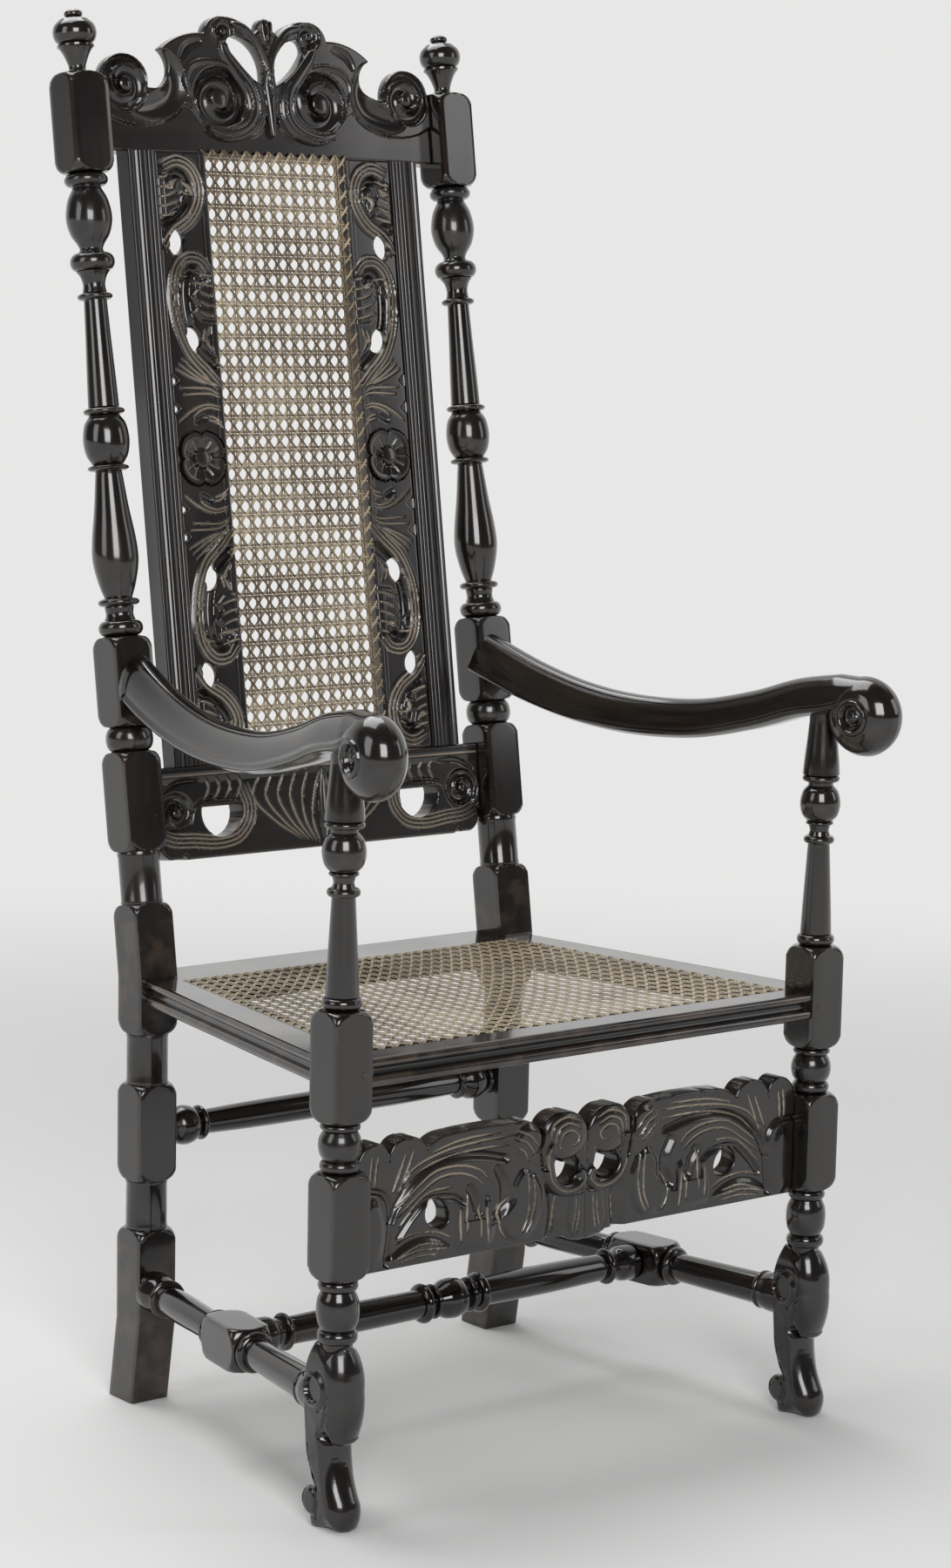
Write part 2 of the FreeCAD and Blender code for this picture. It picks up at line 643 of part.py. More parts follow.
def front_post():
    """A front post in one piece: scroll leg, two square blocks and the turned support of the arm."""
    spigot = f"{LEG} - shoulder"
    core = "front_core_radius"
    rim = "front_ring_radius"
    corners = [("0", spigot), (core, spigot)]
    corners += ring(FRONT[0], FRONT[1], rim, core)
    corners += ball(FRONT[1], FRONT[2], "front_ball_radius", core)
    corners += ring(FRONT[2], FRONT[3], rim, core)
    corners += ring(FRONT[4], FRONT[5], rim, core)
    corners += ball(FRONT[5], FRONT[6], "front_ball_radius", core)
    corners += ring(FRONT[6], FRONT[7], rim, core)
    corners += ring(FRONT[8], FRONT[9], rim, "arm_shaft_foot_radius")
    corners += ring(FRONT[10], FRONT[11], "arm_ring_radius", "arm_shaft_top_radius")
    corners += [("arm_neck_radius", mix(FRONT[11], FRONT[12], 0.5)), ("support_end_radius", FRONT[12])]
    corners += ball(FRONT[12], FRONT[13], "front_ball_radius", "support_end_radius")
    corners += [("support_end_radius", FRONT[14])]
    corners += [("cup_foot_radius", mix(FRONT[14], FRONT[15], 0.5)), ("cup_top_radius", CUP_TOP)]
    corners += [("cup_top_radius", POST_TOP), ("0", POST_TOP)]
    turning = turned("front_turning", corners)
    blocks = [block(FRONT[number], FRONT[number + 1], "front_post", rim) for number in (3, 7)]

    leg = add("PartDesign::Body", "scroll_leg")
    scroll = sketch_on(leg, "YZ_Plane", "-front_post / 2")
    trace(scroll, upright([
        ("-0.72 * leg_reach", 1, "-0.96 * leg_reach", 0.9),
        ("-leg_reach", 0.76, "-0.96 * leg_reach", 0.62),
        ("-0.66 * leg_reach", 0.48, "-0.42 * leg_reach", 0.45),
        ("-0.2 * leg_reach", 0.48), ("0.14 * leg_reach", 0.5),
        ("0.14 * leg_reach", 0.46, "0", 0.3),
        ("-0.6 * toe_reach", 0.14, "-0.86 * toe_reach", 0.08),
        ("-toe_reach", 0), ("0.7 * leg_back", 0, "1.1 * leg_back", 0.06),
        ("0.75 * leg_back", 0.12), ("0.35 * leg_back", 0.13, "0.86 * leg_back", 0.27),
        ("leg_back", 0.42), ("leg_back", 0.88, "0.93 * leg_back", 0.94),
        ("0.7 * leg_back", 1),
    ], LEG))
    pad(leg, scroll, "front_post")
    eye = sketch_on(leg, "YZ_Plane", "-front_post / 2 - eye_rise")
    circle(eye, "0.4 * leg_back", f"0.77 * {LEG}", "eye_radius")
    pad(leg, eye, "front_post + 2 * eye_rise")
    for piece in (turning, leg, *blocks):
        place(piece, "front_spacing / 2", "front_axis")

    mortises = [mortise(name) for name in ("seat_front", "side_front", "front_stretcher")]
    return cut(join(turning, leg, *blocks), *mortises, peg_hole("seat_front"), side_dowel("fit"))


# Arms

ARM_FLATS = 6


def arm():
    """An arm: its top rounded in narrow flats, swept along a dipped line to a rolled scroll before the post."""
    body = add("PartDesign::Body", "arm_sweep")
    far = f"{PLAN_LENGTH} + scroll_reach"
    rear = "-rear_post"
    spine = sketch_on(body, "XZ_Plane")
    trace(spine, [
        (rear, ARM_REAR, "arm_dip_reach", "(seat_height + arm_dip_rise)"),
        (f"{PLAN_LENGTH} - arm_front_run", f"{ARM_FRONT} - arm_front_drop"), (far, ARM_FRONT),
    ], closed=False)

    section = sketch_on(body, "YZ_Plane", rear)
    turns = [math.pi * step / ARM_FLATS for step in range(ARM_FLATS + 1)]
    crown = [(math.cos(angle), math.sin(angle)) for angle in turns]
    trace(section, [
        (f"{across:.3f} * arm_width / 2", f"{ARM_REAR} + {up:.3f} * arm_thick / 2")
        for across, up in crown + [(-1, -0.5), (-0.7, -1), (0.7, -1), (1, -0.5)]
    ])
    pipe = feature(body, "AdditivePipe", section)
    pipe.Spine = (spine, ["Edge1", "Edge2"])
    pipe.Transition = "Right corner"

    roll = sketch_on(body, "XY_Plane", f"{ARM_FRONT} - scroll_drop", far)
    cheek = [(0, -1), (0.7, -1), (1, -0.5), (1, 0.5), (0.7, 1), (0, 1)]
    revolve(body, trace(roll, outline(cheek, "scroll_radius", "scroll_width / 2")), "V_Axis")
    splay(body)

    behind = solid_box(
        "behind_the_post_face", "rear_spacing / 2 - 2 * arm_width", "-rear_post / 2",
        f"{ARM_BLOCK[0]} - arm_thick", "4 * arm_width", "2 * rear_post", "arm_block + 2 * arm_thick", back=True,
    )
    housing = add("Part::Cylinder", "post_housing")
    bind(housing, Radius="cup_top_radius + 2 * fit", Height="2 * arm_housing + fit")
    place(housing, "front_spacing / 2", "front_axis", f"{CUP_TOP} - arm_housing")
    return cut(join(cut(body, behind), tenon("arm")), housing)


# Back panel: pierced boards with raised bosses, reeded strips and cane


def board(label, loops, front, thick):
    """A pierced board: its outline first, then its holes, cut right through from its front face."""
    body = add("PartDesign::Body", label)
    sketch = sketch_on(body, "XZ_Plane", minus(front))
    for loop in loops:
        trace(sketch, loop)
    pad(body, sketch, thick, reverse=True)
    return body


def bosses(body, front, centres):
    """Raise a round boss at each centre, where a volute is carved: x, height and radius."""
    sketch = sketch_on(body, "XZ_Plane", minus(front))
    for x, height, radius in centres:
        circle(sketch, x, height, radius)
    pad(body, sketch, "boss_rise")


def two_sides(*centres):
    return [(sign(x), height, radius) for x, height, radius in centres for sign in (str, minus)]


def crest_rail():
    """The crest: end volutes, horned leaf scrolls and a bud, with a teardrop hole on each side of its stem."""
    wide = INNER_REAR
    tall = "crest_rise"
    half = [(wide, "0"), (wide, "crest_end")]
    half += outline([
        (0.993, 0.479, 0.949, 0.626), (0.849, 0.686, 0.741, 0.614), (0.712, 0.457, 0.62, 0.486),
        (0.629, 0.736, 0.512, 0.836), (0.371, 0.864, 0.322, 0.971), (0.254, 0.993, 0.156, 0.971), (0.068, 0.886),
        (0.044, 0.914, 0.03, 0.979), (0, 1),
    ], wide, tall)
    teardrop = outline([
        (0.049, 0.514, 0.049, 0.686), (0.166, 0.829, 0.215, 0.8), (0.205, 0.736, 0.127, 0.657),
    ], wide, tall)
    body = board("crest_board", [mirrored(half), teardrop, flip(teardrop)], "-back_set", BACK_THICK)
    bosses(body, "-back_set", two_sides(
        (f"0.293 * {wide}", f"0.379 * {tall}", "crest_volute"),
        (f"0.849 * {wide}", f"0.479 * {tall}", "crest_end_volute"),
    ))
    lean(body, rise=CREST_FOOT)
    rebate = cane_border("crest_rebate", minus(f"{PANEL_EDGE} + back_lap + fit"), CREST_FOOT,
                         f"2 * ({PANEL_EDGE} + back_lap + fit)", "back_lap + fit")
    return cut(join(body, *both(tenon, "crest")), rebate, *both(mortise, "stile", "upright"))


def lower_back_rail():
    """The rail under the panel: scrolled ends below and a half-moon hole on each side."""
    wide = INNER_REAR
    tall = "low_rail"
    half = outline([
        (1, 1), (1, 0.258), (0.971, 0.258, 0.966, 0.086), (0.917, 0.011), (0.859, 0.011), (0.839, 0.054),
        (0.82, 0), (0, 0),
    ], wide, tall)
    half_moon = outline([(0.488, 0.548), (0.722, 0.548, 0.605, 0.215)], wide, tall)
    body = board("lower_board", [mirrored(half), half_moon, flip(half_moon)], "-back_set", BACK_THICK)
    lean(body, rise=LOW_RAIL_FOOT)
    rebate = cane_border("lower_rebate", minus(f"{PANEL_EDGE} + back_lap + fit"),
                         f"{LOW_RAIL_TOP} - back_lap - fit",
                         f"2 * ({PANEL_EDGE} + back_lap + fit)", "back_lap + fit")
    return cut(join(body, *both(tenon, "low_rail")), rebate, *both(mortise, "stile", "upright"),
               *peg_holes("low_rail"))


def cane_border(label, x, rise, length, height):
    """The shallow step that the cane of the back lies in."""
    return solid_box(label, x, "-back_set - cane_rebate", rise, length, "2 * cane_rebate", height, back=True)


def back_stile():
    """A reeded strip beside the panel."""
    reeds = 5
    body = add("PartDesign::Body", "stile_strip")
    sketch = sketch_on(body, "XY_Plane")
    back = "stile_thick - back_set"
    corners = [(STILE_EDGE, back), (f"{STILE_EDGE} + stile_width", back)]
    for reed in range(reeds):
        edge = f"{STILE_EDGE} + {(reeds - reed) / reeds:g} * stile_width"
        crown = f"{STILE_EDGE} + {(reeds - reed - 0.5) / reeds:g} * stile_width"
        corners.append((edge, "-back_set", crown, "-back_set - reed_rise"))
    corners.append((STILE_EDGE, "-back_set"))
    trace(sketch, corners)
    pad(body, sketch, PANEL_RISE)
    lean(body, rise=LOW_RAIL_TOP)
    return join(body, tenon("stile"))


def carved_upright():
    """A pierced strip between stile and cane: leaf-shaped holes above and below a rosette."""
    corners = [
        (PANEL_EDGE, "0"), (STILE_EDGE, "0"), (STILE_EDGE, PANEL_RISE), (PANEL_EDGE, PANEL_RISE),
    ]
    loops = [corners]
    for across, up in ((0.685, 0.857), (0.508, 0.701), (0.45, 0.323), (0.588, 0.149)):
        x = f"{PANEL_EDGE} + {across} * upright_width"
        loops.append(lens(x, f"{up} * {PANEL_RISE}", "leaf_hole_width", "leaf_hole_length"))
    body = board("upright_strip", loops, "-back_set", "upright_thick")
    bosses(body, "-back_set", [(f"{PANEL_EDGE} + 0.525 * upright_width", f"0.502 * {PANEL_RISE}", "rosette")])
    lean(body, rise=LOW_RAIL_TOP)
    rebate = cane_border("upright_rebate", f"{PANEL_EDGE} - fit", LOW_RAIL_TOP, "back_lap + 2 * fit", PANEL_RISE)
    return cut(join(body, tenon("upright")), rebate)


def net(label, quad, normal, columns, rows, border):
    """A cane panel as one flat plate with rows of gaps: quad holds its corners in turn."""
    across = ((quad[1] - quad[0]).Length + (quad[2] - quad[3]).Length) / 2
    deep = ((quad[3] - quad[0]).Length + (quad[2] - quad[1]).Length) / 2

    def corner(share_across, share_deep):
        low = quad[0] + (quad[1] - quad[0]) * share_across
        high = quad[3] + (quad[2] - quad[3]) * share_across
        return low + (high - low) * share_deep

    def span(number, count, whole):
        """The shares where a gap starts and ends."""
        step = (whole - 2 * border) / count
        start = border + number * step + value("cane_strand") / 2
        return start / whole, (start + step - value("cane_strand")) / whole

    wires = [Part.makePolygon([*quad, quad[0]])]
    for column in range(columns):
        for row in range(rows):
            left, right = span(column, columns, across)
            near, far = span(row, rows, deep)
            gap = [corner(left, near), corner(right, near), corner(right, far), corner(left, far)]
            wires.append(Part.makePolygon([*gap, gap[0]]))
    item = add("Part::Feature", label)
    item.Shape = Part.makeFace(wires, "Part::FaceMakerBullseye").extrude(normal * value("cane_thick"))
    return item


def back_cane():
    half = value(f"{PANEL_EDGE} + back_lap")
    tall = value(f"{PANEL_RISE} + 2 * back_lap")
    quad = [Vector(-half, 0, 0), Vector(half, 0, 0), Vector(half, 0, tall), Vector(-half, 0, tall)]
    border = value("back_lap + cane_strand / 2")
    panel = net("back_net", quad, Vector(0, -1, 0), int(value("back_columns")), int(value("back_rows")), border)
    return lean(panel, depth="cane_rebate - back_set", rise=f"{LOW_RAIL_TOP} - back_lap")


# Seat


def moulded(edge, inward, width):
    """The section of a seat rail: a flat board with a bead, a hollow and a bead along its outer edge."""
    points = [
        (width, 0), ("edge_round", 0, "0", 0.15), ("0.8 * edge_round", 0.31, "1.4 * edge_round", 0.46),
        ("0.6 * edge_round", 0.62, "0", 0.81), ("edge_round", 1), (width, 1),
    ]
    return [
        tuple(f"seat_height - {text} * rail_thick" if count % 2 else f"{edge} + {inward} * ({text})"
              for count, text in enumerate(point))
        for point in points
    ]


def seat_rail_front():
    body = add("PartDesign::Body", "front_board")
    sketch = sketch_on(body, "YZ_Plane", minus(INNER_FRONT))
    trace(sketch, moulded("front_axis - front_post / 2 + rail_inset", 1, "front_post - rail_inset"))
    pad(body, sketch, f"2 * {INNER_FRONT}")
    return cut(join(body, *both(tenon, "seat_front")), *peg_holes("seat_front"))


def seat_rail_side():
    body = add("PartDesign::Body", "side_board")
    sketch = sketch_on(body, "XZ_Plane", minus(POST_BACK))
    trace(sketch, moulded(SIDE_FRONT, -1, "side_rail_width"))
    rail = pad(body, sketch, f"sqrt(({SIDE_FRONT} - {SIDE_REAR})^2 + {SIDE_RUN}^2)")
    rail.UseCustomVector = True
    rail.AlongSketchNormal = False
    rail.Direction = Vector(-value(f"{SIDE_FRONT} - {SIDE_REAR}"), value(SIDE_RUN), 0)
    rail.setExpression("Direction.x", formula(f"{SIDE_REAR} - {SIDE_FRONT}"))
    rail.setExpression("Direction.y", formula(SIDE_RUN))
    return join(body, tenon("side_front"), tenon("side_rear"))


def seat_rail_back():
    body = add("PartDesign::Body", "back_board")
    sketch = sketch_on(body, "XY_Plane", RAIL_FOOT)
    trace(sketch, mirrored([
        (INNER_REAR, REAR_BACK), (INNER_REAR, REAR_FACE), (side_edge(REAR_FACE), REAR_FACE),
        (side_edge(BACK_RAIL_FRONT), BACK_RAIL_FRONT), ("0", BACK_RAIL_FRONT),
    ]))
    pad(body, sketch, "rail_thick")
    return join(body, *both(tenon, "seat_back"))


def seat_cane():
    near = f"({POST_BACK} - cane_lap)"
    far = f"({BACK_RAIL_FRONT} + cane_lap)"
    wide_near = value(f"{side_edge(near)} + cane_lap")
    wide_far = value(f"{side_edge(far)} + cane_lap")
    quad = [
        Vector(-wide_near, value(near), 0), Vector(wide_near, value(near), 0),
        Vector(wide_far, value(far), 0), Vector(-wide_far, value(far), 0),
    ]
    border = value("cane_lap + cane_strand / 2")
    panel = net("seat_net", quad, Vector(0, 0, 1), int(value("seat_columns")), int(value("seat_rows")), border)
    return place(panel, z="seat_height")


# Stretchers


def front_stretcher():
    """The high front stretcher: lobed ends, a long leaf edge, facing curls in the middle and four holes."""
    wide = INNER_FRONT
    tall = "front_stretcher_rise"
    half = [("0", "-leaf_drop", f"0.052 * {wide}", "-0.8 * leaf_drop"), (f"0.097 * {wide}", "0"), (wide, "0")]
    half += [(wide, "front_stretcher_end", f"0.972 * {wide}", f"0.87 * {tall}")]
    half += outline([
        (0.909, 0.975, 0.872, 0.96), (0.849, 0.885, 0.812, 0.975), (0.745, 0.992, 0.54, 0.959),
        (0.335, 0.967, 0.268, 0.926), (0.223, 0.836, 0.156, 0.918), (0.089, 0.967, 0.037, 0.934), (0.015, 0.836),
        (0, 0.811),
    ], wide, tall)
    loop = lens(f"0.097 * {wide}", f"0.533 * {tall}", "loop_width", "loop_length")
    side_hole = lens(f"0.648 * {wide}", f"0.352 * {tall}", "side_hole_width", "side_hole_length")
    loops = [mirrored(half), loop, flip(loop), side_hole, flip(side_hole)]
    body = board("stretcher_board", loops, "0", "front_stretcher_thick")
    bosses(body, "0", two_sides((f"0.086 * {wide}", f"0.82 * {tall}", "curl")))
    place(body, "0", "front_axis", FRONT_STRETCHER_FOOT)
    return join(body, *both(tenon, "front_stretcher"))


def side_stretcher():
    """A low side stretcher: cupped ends, ringed columns and a square block in the middle."""
    middle = f"{PLAN_LENGTH} / 2"
    core = "stretcher_radius"
    rim = "stretcher_ring_radius"
    step = "stretcher_ring_length"
    square_foot = f"({middle} - centre_length / 2)"
    square_top = f"({middle} + centre_length / 2)"
    rear = stack("rear_post / 2", "end_cup_length", step)
    front = stack(f"{PLAN_LENGTH} - leg_back - end_cup_length - {step}", step, "end_cup_length")
    corners = [("0", "rear_post / 4"), (rim, "rear_post / 4"), (rim, rear[0]), ("stretcher_waist", rear[1])]
    corners += ring(rear[1], rear[2], rim, core)
    corners += ring(f"{square_foot} - {step}", square_foot, rim, core)
    corners += ring(square_top, f"{square_top} + {step}", rim, core)
    corners += ring(front[0], front[1], rim, core)
    corners += [("stretcher_waist", front[1]), (rim, front[2]), (rim, f"{PLAN_LENGTH} - leg_back / 2")]
    corners += [("0", f"{PLAN_LENGTH} - leg_back / 2")]
    turning = turned("side_turning", corners, lying=True)
    middle_block = block(square_foot, square_top, "centre_block", "stretcher_radius", lying=True)
    splay(turning, "side_stretcher_height")
    splay(middle_block, "side_stretcher_height")
    below = "side_stretcher_height - 2 * rear_post"
    at_front = solid_box(
        "past_the_leg", "front_spacing / 2 - 2 * front_post", "front_axis + leg_back - 2 * rear_post", below,
        "4 * front_post", "2 * rear_post", "4 * rear_post",
    )
    at_rear = solid_box(
        "past_the_post", "rear_spacing / 2 - 2 * rear_post", REAR_FACE, below,
        "4 * rear_post", "2 * rear_post", "4 * rear_post",
    )
    trimmed = cut(turning, at_front, at_rear)
    return cut(join(trimmed, middle_block, side_dowel()), medial_dowel("fit"))


def medial_stretcher():
    """The stretcher between the side stretchers: a ball between reels, plain columns and ringed ends."""
    end = MIDDLE_X
    half_ball = "medial_ball_length / 2"
    inner_end = f"{MIDDLE_X} - centre_block / 2"
    core = "medial_radius"
    rim = "stretcher_ring_radius"
    step = "stretcher_ring_length"
    corners = [("0", minus(end)), (core, minus(end))]
    corners += ring(f"-({inner_end}) + {step}", f"-({inner_end}) + 2 * {step}", rim, core)
    corners += ring(f"-{half_ball} - 2 * {step}", f"-{half_ball} - {step}", rim, core)
    corners += bead(f"-{half_ball}", half_ball, "medial_ball_radius", core)
    corners += ring(f"{half_ball} + {step}", f"{half_ball} + 2 * {step}", rim, core)
    corners += ring(f"{inner_end} - 2 * {step}", f"{inner_end} - {step}", rim, core)
    corners += [(core, end), ("0", end)]
    body = turned("medial_turning", corners, lying=True)
    place(body, "0", MIDDLE_Y, "side_stretcher_height")
    beyond = add("PartDesign::Body", "beyond_the_block_face")
    face = sketch_on(beyond, "XY_Plane", "-centre_block")
    near = f"{PLAN_LENGTH} / 2 - centre_block"
    far = f"{PLAN_LENGTH} / 2 + centre_block"
    trace(face, [
        (near, "-centre_block / 2"), (far, "-centre_block / 2"), (far, "centre_block"), (near, "centre_block"),
    ])
    pad(beyond, face, "2 * centre_block")
    splay(beyond, "side_stretcher_height")
    return join(cut(body, beyond, reflect(beyond)), medial_dowel())


def rear_stretcher():
    """The high stretcher between the rear posts: ball and ring at each end of a plain column."""
    core = "stretcher_waist"
    rim = "stretcher_ring_radius"
    step = "stretcher_ring_length"
    low = stack(minus(INNER_REAR), "end_cup_length", step)
    high = stack(f"{INNER_REAR} - {step} - end_cup_length", step, "end_cup_length")
    corners = [("0", low[0])]
    corners += bead(low[0], low[1], rim, core)
    corners += ring(low[1], low[2], rim, core)
    corners += ring(high[0], high[1], rim, core)
    corners += bead(high[1], high[2], rim, core)
    corners += [("0", high[2])]
    body = turned("rear_turning", corners, lying=True)
    place(body, "0", REAR_AXIS, "rear_stretcher_height")
    return join(body, rear_dowel())


pair(rear_post(), "rear_post")
pair(front_post(), "front_post")
pair(arm(), "arm")
pair(back_stile(), "back_stile")
pair(carved_upright(), "carved_upright")
pair(seat_rail_side(), "seat_rail")
pair(side_stretcher(), "side_stretcher")
node(crest_rail(), "crest_rail")
node(lower_back_rail(), "lower_back_rail")
node(back_cane(), "back_cane")
node(seat_rail_front(), "seat_rail_front")
node(seat_rail_back(), "seat_rail_back")
node(seat_cane(), "seat_cane")
node(front_stretcher(), "front_stretcher")
node(medial_stretcher(), "medial_stretcher")
node(rear_stretcher(), "rear_stretcher")
right_pegs = [peg(name) for name in PEGS]
pegs = add("Part::Compound", "pegs")
pegs.Links = right_pegs + [reflect(item) for item in right_pegs]
node(pegs, "joint_pegs")

doc.recompute()
for item in doc.Objects:
    if "Invalid" in item.State or "Error" in item.State:
        raise RuntimeError(f"{item.Label} did not build: {item.State}")
for item in nodes:
    if item.Shape.isNull() or not item.Shape.isValid():
        raise RuntimeError(f"{item.Label} has no sound shape")
os.makedirs("parts", exist_ok=True)
for item in nodes:
    item.Shape.exportStep(f"parts/{item.Label}.step")
    print(item.Label, len(item.Shape.Solids), "solids", round(item.Shape.Volume / 1000), "cubic centimetres")
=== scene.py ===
# %% [markdown]
# # A tall cane armchair
# The chair is a joiner's and turner's piece: four turned posts, flat rails joined into them, carved
# boards in the back and under the seat, and cane woven across the two openings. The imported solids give
# the place and size of every piece, so this lesson starts by loading them.

# %% Load the frame
import math

import bpy
import numpy as np
from mathutils import Euler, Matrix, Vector


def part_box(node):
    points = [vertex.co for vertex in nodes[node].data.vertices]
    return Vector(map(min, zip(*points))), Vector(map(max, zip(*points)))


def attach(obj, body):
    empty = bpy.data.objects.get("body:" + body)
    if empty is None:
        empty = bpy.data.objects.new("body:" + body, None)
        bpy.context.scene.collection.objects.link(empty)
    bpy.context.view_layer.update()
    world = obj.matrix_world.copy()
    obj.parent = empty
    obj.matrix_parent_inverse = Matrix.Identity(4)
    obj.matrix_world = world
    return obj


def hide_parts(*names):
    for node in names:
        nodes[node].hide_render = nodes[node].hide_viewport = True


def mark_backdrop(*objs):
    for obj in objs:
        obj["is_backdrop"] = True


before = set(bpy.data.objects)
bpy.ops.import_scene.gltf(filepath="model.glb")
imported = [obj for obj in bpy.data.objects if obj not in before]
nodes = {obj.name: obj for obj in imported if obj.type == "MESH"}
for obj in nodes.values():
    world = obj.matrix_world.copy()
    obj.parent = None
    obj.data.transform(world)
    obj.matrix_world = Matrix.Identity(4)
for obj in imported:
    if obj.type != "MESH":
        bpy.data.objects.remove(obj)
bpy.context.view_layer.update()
print("nodes in the frame:", len(nodes))

# %% [markdown]
# Every length of the chair is in millimetres, because that is how a chair maker would give it, and is
# turned into metres only when a mesh is made. The camera, the floor and the lamps are placed in metres,
# as Blender counts. Where the posts and the seat stand is read from the frame.

# %% Sizes that place the pieces
MM = 0.001
SIDES_OF_CHAIR = (("right", 1), ("left", -1))
STRETCHER_THICK = 20
POST_DEPTH = 408
RAKE = math.radians(8.7)
REAR_HALF = 21.5
FRONT_HALF = 20.5
BACK_FACE = -4.5
CREST_FOOT = 813
LOW_RAIL_FOOT = 110
LOW_RAIL_TOP = 203


def node_box(name):
    """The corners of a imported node, in millimetres."""
    low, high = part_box(name)
    return np.array(low) / MM, np.array(high) / MM


def middle_x(name):
    return np.mean([corner[0] for corner in node_box(name)])


SEAT = node_box("seat_cane")[0][2]
FRONT_X = middle_x("front_post_right")
REAR_X = middle_x("rear_post_right")
FRONT_Y = node_box("front_stretcher")[1][1] - STRETCHER_THICK
REAR_Y = FRONT_Y + POST_DEPTH
print("seat height", round(SEAT, 1), "front posts at", round(FRONT_X, 1), round(FRONT_Y, 1))
print("rear posts at", round(REAR_X, 1), round(REAR_Y, 1))

# %% [markdown]
# The camera stands where the photograph was taken from: higher than the arms, well to the left of the
# front and far enough away that the posts stay nearly parallel. It looks a little down. The shift slides
# the frame without tilting the camera any further.

# %% Camera
IMAGE_TALL = 1800
IMAGE_SHIFT = (2, 58.3)
FOCAL_PIXELS = 4103.6
SENSOR = 36
CAMERA_PLACE = (-2.1344, -2.7365, 1.1189)
CAMERA_TURN = (81.14, -1.15, -38.39)


def into_scene(name, data):
    """A new object with this data, linked into the scene."""
    item = bpy.data.objects.new(name, data)
    bpy.context.scene.collection.objects.link(item)
    return item


lens = bpy.data.cameras.new("camera")
lens.sensor_fit = "VERTICAL"
lens.sensor_height = SENSOR
lens.lens = FOCAL_PIXELS / IMAGE_TALL * SENSOR
lens.shift_x, lens.shift_y = (shift / IMAGE_TALL for shift in IMAGE_SHIFT)
camera = into_scene("camera", lens)
camera.location = CAMERA_PLACE
camera.rotation_euler = Euler([math.radians(angle) for angle in CAMERA_TURN])
bpy.context.scene.camera = camera
print("lens", round(lens.lens, 1), "mm")

# %% [markdown]
# Node trees are long when every node is placed by hand, so small helpers add a node and feed its sockets.
# A shared effect becomes a node group: its sockets are declared once and each material gives its own
# values.

# %% Helpers for materials


def feed(tree, given, socket):
    """Give a socket a value, or a link from another socket."""
    if isinstance(given, bpy.types.NodeSocket):
        tree.links.new(given, socket)
    elif given is not None:
        socket.default_value = given


def add_node(tree, kind, **inputs):
    """Add a shader node and feed its named inputs."""
    node = tree.nodes.new(kind)
    for name, given in inputs.items():
        feed(tree, given, node.inputs[name])
    return node


def math_node(tree, operation, first, second=None, kind="Math", output=0):
    """A sum on values, or on vectors with the other kind of node."""
    item = tree.nodes.new(f"ShaderNode{kind}")
    item.operation = operation
    for socket, given in zip(item.inputs, (first, second)):
        feed(tree, given, socket)
    return item.outputs[output]


def ramp(tree, factor, low, high, low_value=0.0, high_value=1.0):
    """Map a factor from one range to another, with soft ends."""
    item = tree.nodes.new("ShaderNodeMapRange")
    item.interpolation_type = "SMOOTHSTEP"
    for socket, given in zip(item.inputs, (factor, low, high, low_value, high_value)):
        feed(tree, given, socket)
    return item.outputs[0]


def mix_colour(tree, factor, first, second):
    """A mix node has sockets for every kind of data: 0 is the factor, 6 and 7 are the two colours."""
    item = tree.nodes.new("ShaderNodeMix")
    item.data_type = "RGBA"
    for number, given in ((0, factor), (6, first), (7, second)):
        feed(tree, given, item.inputs[number])
    return item.outputs[2]


def noise(tree, place, scale, detail):
    return add_node(tree, "ShaderNodeTexNoise", Vector=place, Scale=scale, Detail=detail).outputs[0]


def object_place(tree):
    return add_node(tree, "ShaderNodeTexCoord").outputs["Object"]


print("material helpers ready")

# %% Helpers for groups and materials


def new_group(name, inputs, outputs):
    """A shader node group with named sockets: its tree, what it is given and what it puts out."""
    tree = bpy.data.node_groups.new(name, "ShaderNodeTree")
    for title, kind, value in inputs:
        socket = tree.interface.new_socket(title, in_out="INPUT", socket_type=f"NodeSocket{kind}")
        socket.default_value = value
    for title in outputs:
        tree.interface.new_socket(title, in_out="OUTPUT", socket_type="NodeSocketFloat")
    return tree, tree.nodes.new("NodeGroupInput").outputs, tree.nodes.new("NodeGroupOutput").inputs


def place_group(tree, group, **inputs):
    """Put a shared group into a material with its own values, and give its outputs."""
    node = tree.nodes.new("ShaderNodeGroup")
    node.node_tree = group
    for name, given in inputs.items():
        feed(tree, given, node.inputs[name])
    return node.outputs


def new_material(name):
    """A material, its tree and the inputs of its surface."""
    material = bpy.data.materials.new(name)
    material.use_nodes = True
    tree = material.node_tree
    return material, tree, tree.nodes["Principled BSDF"].inputs


def mesh_mask(tree, name):
    """A value that the mesh keeps at each of its points."""
    item = tree.nodes.new("ShaderNodeAttribute")
    item.attribute_name = name
    return item.outputs["Fac"]


def pore_bump(tree, surface, pore, strength, distance):
    bump = add_node(tree, "ShaderNodeBump", Height=pore, Strength=strength, Distance=distance)
    tree.links.new(bump.outputs[0], surface["Normal"])


print("group helpers ready")

# %% [markdown]
# Old polished wood shows its grain only faintly. Streaks come from noise that is stretched along the
# board, so the group takes the stretch as an input: along Z for posts, along X for rails.

# %% Group: grain
GRAIN_NOISE = {"Streak": (60.0, 4.0), "Pore": (420.0, 2.0)}
CLOUD_NOISE = (9.0, 3.0)


